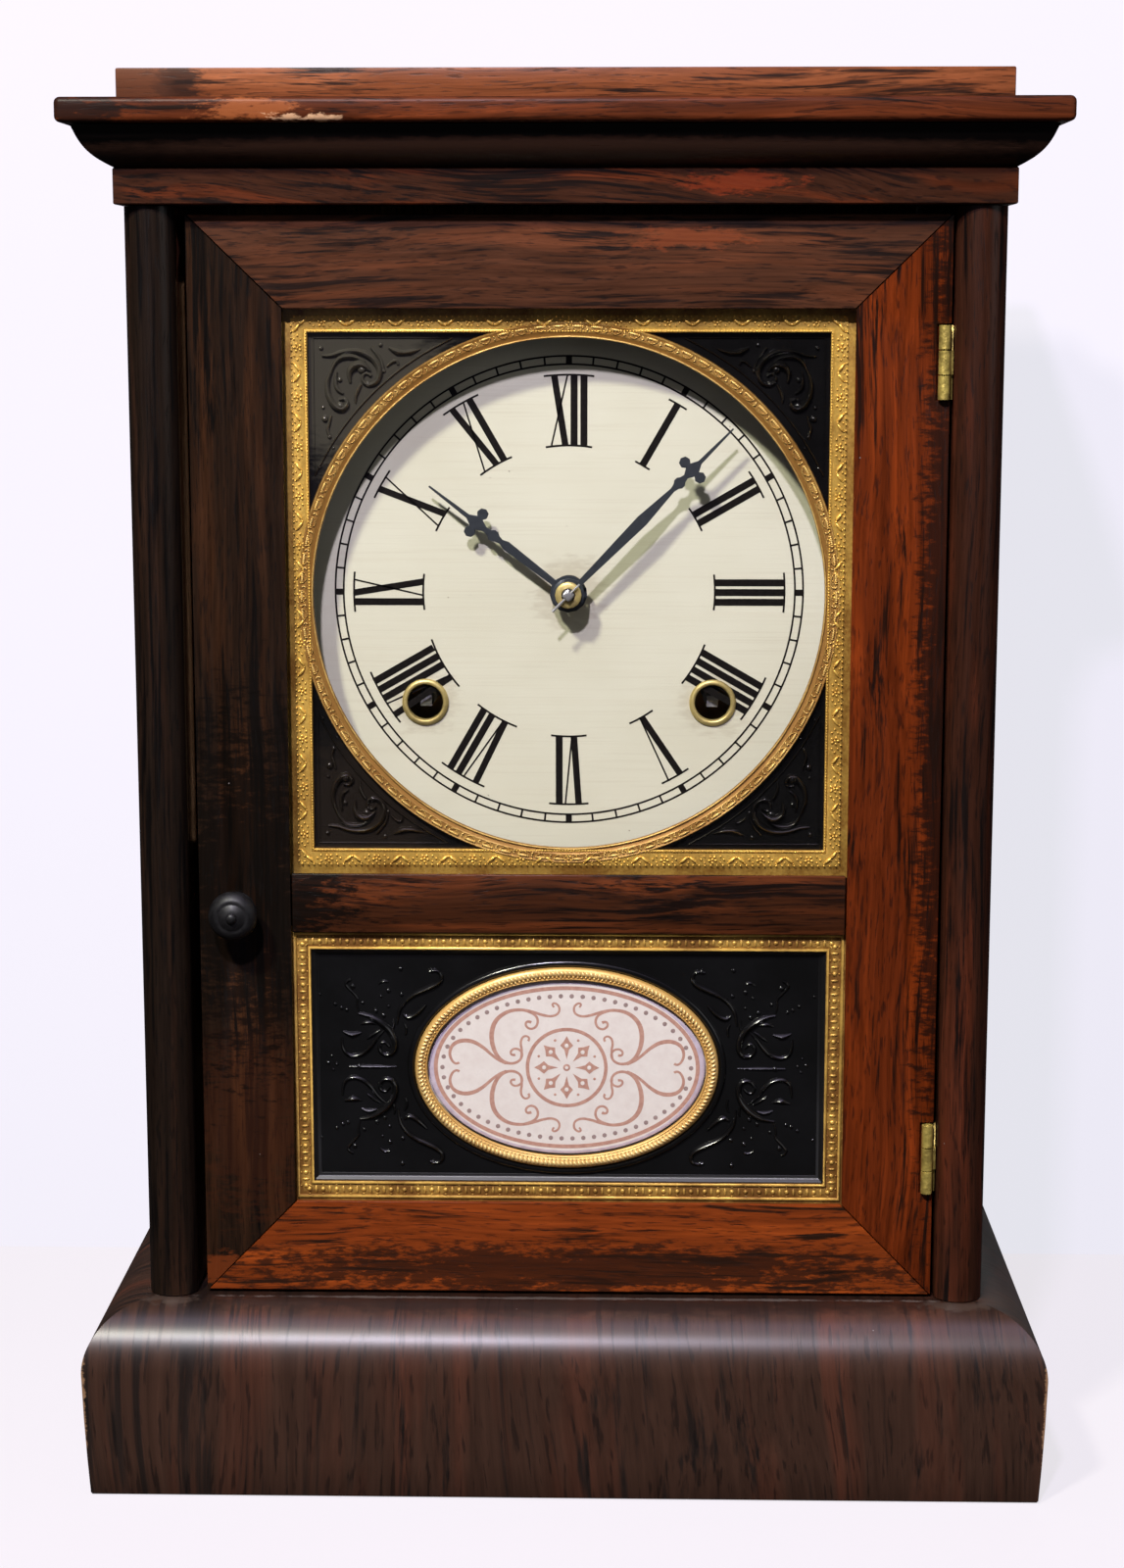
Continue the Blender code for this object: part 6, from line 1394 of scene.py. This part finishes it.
# %% Hands
HUB_INNER, HUB_OUTER = 3.5, 4.5
COLLET_RADIUS, COLLET_FRONT = 3.6, 10.75


def stouter(node, swell, hub):
    """A hand's own outline grown outwards, with its hub widened to a radius."""
    shape = cad_copy(node)
    for vert in shape.verts:
        outwards = Vector((vert.normal.x, 0.0, vert.normal.z))
        away = Vector((vert.co.x - DIAL[0], 0.0, vert.co.z - DIAL[1]))
        if away.length > HUB_OUTER:
            vert.co += outwards.normalized() * swell
        elif away.length > HUB_INNER:
            vert.co += away * (hub / away.length - 1.0)
    return soften(shape, 0.1, 1, 40.0)


shape = stouter("hour_hand", 0.16, 4.7)
add_piece("hour_hand_cut", shape, [BLUED_LOOK], "hour", "hour_hand")
shape = stouter("minute_hand", 0.12, 4.1)
for face in shape.faces:
    middle = face.calc_center_median()
    near = math.hypot(middle.x - DIAL[0], middle.z - DIAL[1]) < COLLET_RADIUS
    face.material_index = 1 if near and middle.y < depth(COLLET_FRONT) else 0
add_piece("minute_hand_cut", shape, [BLUED_LOOK, PALE_BRASS], "minute", "minute_hand")
print("hands are cut")

# %% [markdown]
# The collet's square hole stands as a diamond, and the arbor's domed square end comes through it, held by
# a taper pin.

# %% Arbor end
ARBOR_CUT, SQUARE_MIDDLE, SQUARE_TURN = 9.0, 8.4, 44.7
shape = cad_copy("centre_arbor")
saw(shape, (0, depth(ARBOR_CUT), 0), (0, -1, 0))
turn = Matrix.Rotation(math.radians(SQUARE_TURN), 4, "Y")
place = Matrix.Translation((DIAL[0], depth(SQUARE_MIDDLE), DIAL[1])) @ turn
place @= Matrix.Diagonal((2.0, 1.4, 2.0, 1))
end = bmesh.new()
bmesh.ops.create_cube(end, size=1.0, matrix=place)
joined(shape, soften(end, 0.35, 3))
add_piece("centre_arbor_squared", shape, [STEEL_LOOK], "minute", "centre_arbor")
print("the arbor has its square end")

# %% [markdown]
# ## Knob
# The door knob is turned wood, stained black, with a swollen body, a rounded rim and a small nipple.

# %% Knob
KNOB_PROFILE = numbers(
    "0 17.6, 1.9 17.6, 1.9 3.8, 4.5 3.8, 4.8 3.4, 4.7 2.9, 3.6 2.4, 3.1 1.6, 3.1 0.6, 3.9 -0.3,"
    "5 -1, 5.8 -1.9, 6.15 -3, 6.05 -4.1, 5.5 -5.1, 4.6 -5.8, 3.9 -6.1, 3.5 -5.95, 3.2 -6.1, 2.4 -6.6,"
    "1.7 -6.8, 1.4 -6.85, 1.3 -7.2, 1 -7.6, 0.5 -7.8, 0 -7.8"
)
shape = spun(bmesh.new(), KNOB_PROFILE, (-82.55, 148.75))
add_piece("door_knob_turned", shape, [EBONISED_LOOK], "latch", "door_knob", 50.0)
print("knob is turned")

# %% [markdown]
# ## Hinges
# The hinge leaves keep their CAD shape with softened edges. They are old brass.

# %% Hinges
for body in ("door", "case"):
    for label in (f"hinge_upper_{body}_leaf", f"hinge_lower_{body}_leaf"):
        add_piece(label + "_worn", soften(cad_copy(label), 0.1, 1), [HINGE_BRASS], body, label)
print("hinges are in place")

# %% [markdown]
# ## Camera and room
# The photo was taken from a little above the middle of the clock and almost straight in front. The
# camera's place comes from fitting the clock's own edges to their places in the photo.

# %% Camera
scene = bpy.context.scene
camera_data = bpy.data.cameras.new("photo_camera")
camera_data.sensor_width = 36.0
camera_data.lens = 65.043
camera_data.clip_start = 0.01
camera_data.clip_end = 10.0
camera = bpy.data.objects.new("photo_camera", camera_data)
scene.collection.objects.link(camera)
camera.location = (0.0155, -0.7391, 0.2985)
camera.rotation_euler = (math.radians(80.445), 0.0, math.radians(1.325))
scene.camera = camera
scene.view_settings.view_transform = "Standard"
print("camera at", tuple(round(v, 3) for v in camera.location))

# %% [markdown]
# The clock stands on a white shelf close to a white wall. Only the camera sees them bright. Reflections
# and bounced light see them dim, because the photo's deep shadows show that little light came back from
# them. From behind they are clear, so that the clock's back can be looked at.

# %% Shelf and wall
UNDER, BEHIND, FAR = -0.0002, 0.133, 3.0
DIM = rgb(36, 35, 36)


def faded(colour, share):
    """A colour with less light."""
    return [part * share for part in colour[:3]] + [1.0]


def room_sheet(name, low, high, white, shade, own_light):
    """A staged rectangle that is white to the camera and dim to every other ray."""
    sheet = bmesh.new()
    bmesh.ops.create_grid(sheet, x_segments=1, y_segments=1, size=1.0)
    if low[1] == high[1]:
        bmesh.ops.rotate(sheet, verts=sheet.verts[:], matrix=Matrix.Rotation(math.radians(90), 3, "X"))
    half = [max((b - a) / 2, 0.0) for a, b in zip(low, high)]
    bmesh.ops.scale(sheet, verts=sheet.verts[:], vec=half)
    bmesh.ops.translate(sheet, verts=sheet.verts[:], vec=[(a + b) / 2 for a, b in zip(low, high)])
    piece, mesh = new_object(name, sheet)
    look, tree, shader = new_look(name + "_paint", Roughness=0.8, Specular_IOR_Level=0.1)
    cloud = noise(place_of(tree), (5, 5, 5))
    path = add_node("ShaderNodeLightPath", tree=tree)
    camera_ray = Out(path["Is Camera Ray"])
    lit = blended(cloud, shade, faded(shade, 0.97))
    connect(shader, blended(camera_ray, DIM, lit), None, cloud, 0.00001)
    plug(blended(cloud, white, faded(white, 0.98)), shader.inputs["Emission Color"])
    plug(camera_ray * own_light, shader.inputs["Emission Strength"])
    behind = Out(add_node("ShaderNodeNewGeometry", tree=tree)["Backfacing"])
    open_way = maths("MAXIMUM", behind, Out(path["Is Shadow Ray"]))
    clear = add_node("ShaderNodeBsdfTransparent", tree=tree)[0]
    mix_shaders(open_way, shader.outputs[0], clear, look)
    mesh.materials.append(look)


room_sheet("shelf", (-FAR, -FAR, UNDER), (FAR, BEHIND, UNDER), rgb(250, 246, 252), rgb(104, 98, 104), 0.8)
room_sheet("wall", (-FAR, BEHIND, UNDER), (FAR, BEHIND, FAR), rgb(246, 246, 255), rgb(104, 94, 104), 0.84)
print("shelf and wall are in place")

# %% [markdown]
# The world stands for the rest of the room: dark in front, with a bright ceiling light and a dim window
# at the left that only reflections see.

# %% World
world = bpy.data.worlds.new("studio")
scene.world = world
world.use_nodes = True
tree = world.node_tree
facing = Out(add_node("ShaderNodeTexCoord", tree=tree)["Generated"])
x, y, z = (Out(part) for part in add_node("ShaderNodeSeparateXYZ", {0: facing}))
ceiling = maths("POWER", ranged(z, 0.6, 0.97), 3.0) * 2.8 * ranged(y, 0.12, -0.02)
left_window = ranged(x, -0.02, -0.14, 0.0, 0.12) * ranged(y, -0.5, -0.8)
path = add_node("ShaderNodeLightPath", tree=tree)
glossy = Out(path["Is Glossy Ray"])
seen = maths("MAXIMUM", Out(path["Is Camera Ray"]), Out(path["Is Transmission Ray"]))
strength = Out(add_node("ShaderNodeMix", {0: glossy, 2: 0.1, 3: ceiling + left_window + 0.03})[0])
strength = Out(add_node("ShaderNodeMix", {0: seen, 2: strength, 3: 1.0})[0])
background = tree.nodes["Background"].inputs
plug(strength, background["Strength"])
plug(blended(glossy, rgb(246, 246, 255), rgb(226, 212, 252)), background["Color"])
print("world nodes:", len(tree.nodes))

# %% [markdown]
# The main lamps are small and high, because the photo's shadows are sharp: a warm one at the left and a
# cooler one nearer the middle. Two weak fills keep the right side and the back from going black.


# %% Lamps
def area_light(name, power, size, place, target_z=0.2, shade=(1.0, 1.0, 1.0)):
    """A soft lamp of a width and a height that looks at the middle of the clock at some height."""
    data = bpy.data.lights.new(name, "AREA")
    data.energy = power
    data.shape = "RECTANGLE"
    data.size, data.size_y = size
    data.color = shade
    lamp = bpy.data.objects.new(name, data)
    scene.collection.objects.link(lamp)
    lamp.location = place
    look_along = Vector((0.0, 0.0, target_z)) - Vector(place)
    lamp.rotation_euler = look_along.to_track_quat("-Z", "Y").to_euler()


area_light("left_lamp", 23.5, (0.12, 0.1), (-0.52, -0.95, 1.28), shade=(1.0, 1.0, 0.82))
area_light("right_lamp", 15.5, (0.06, 0.05), (-0.14, -0.95, 1.02), shade=(0.85, 0.79, 1.0))
area_light("right_fill", 2.0, (0.8, 0.8), (1.3, -0.8, 0.6))
area_light("back_fill", 5.0, (1.0, 0.3), (0.3, 1.3, 0.2), 0.16)
print("lamps:", len(bpy.data.lights))
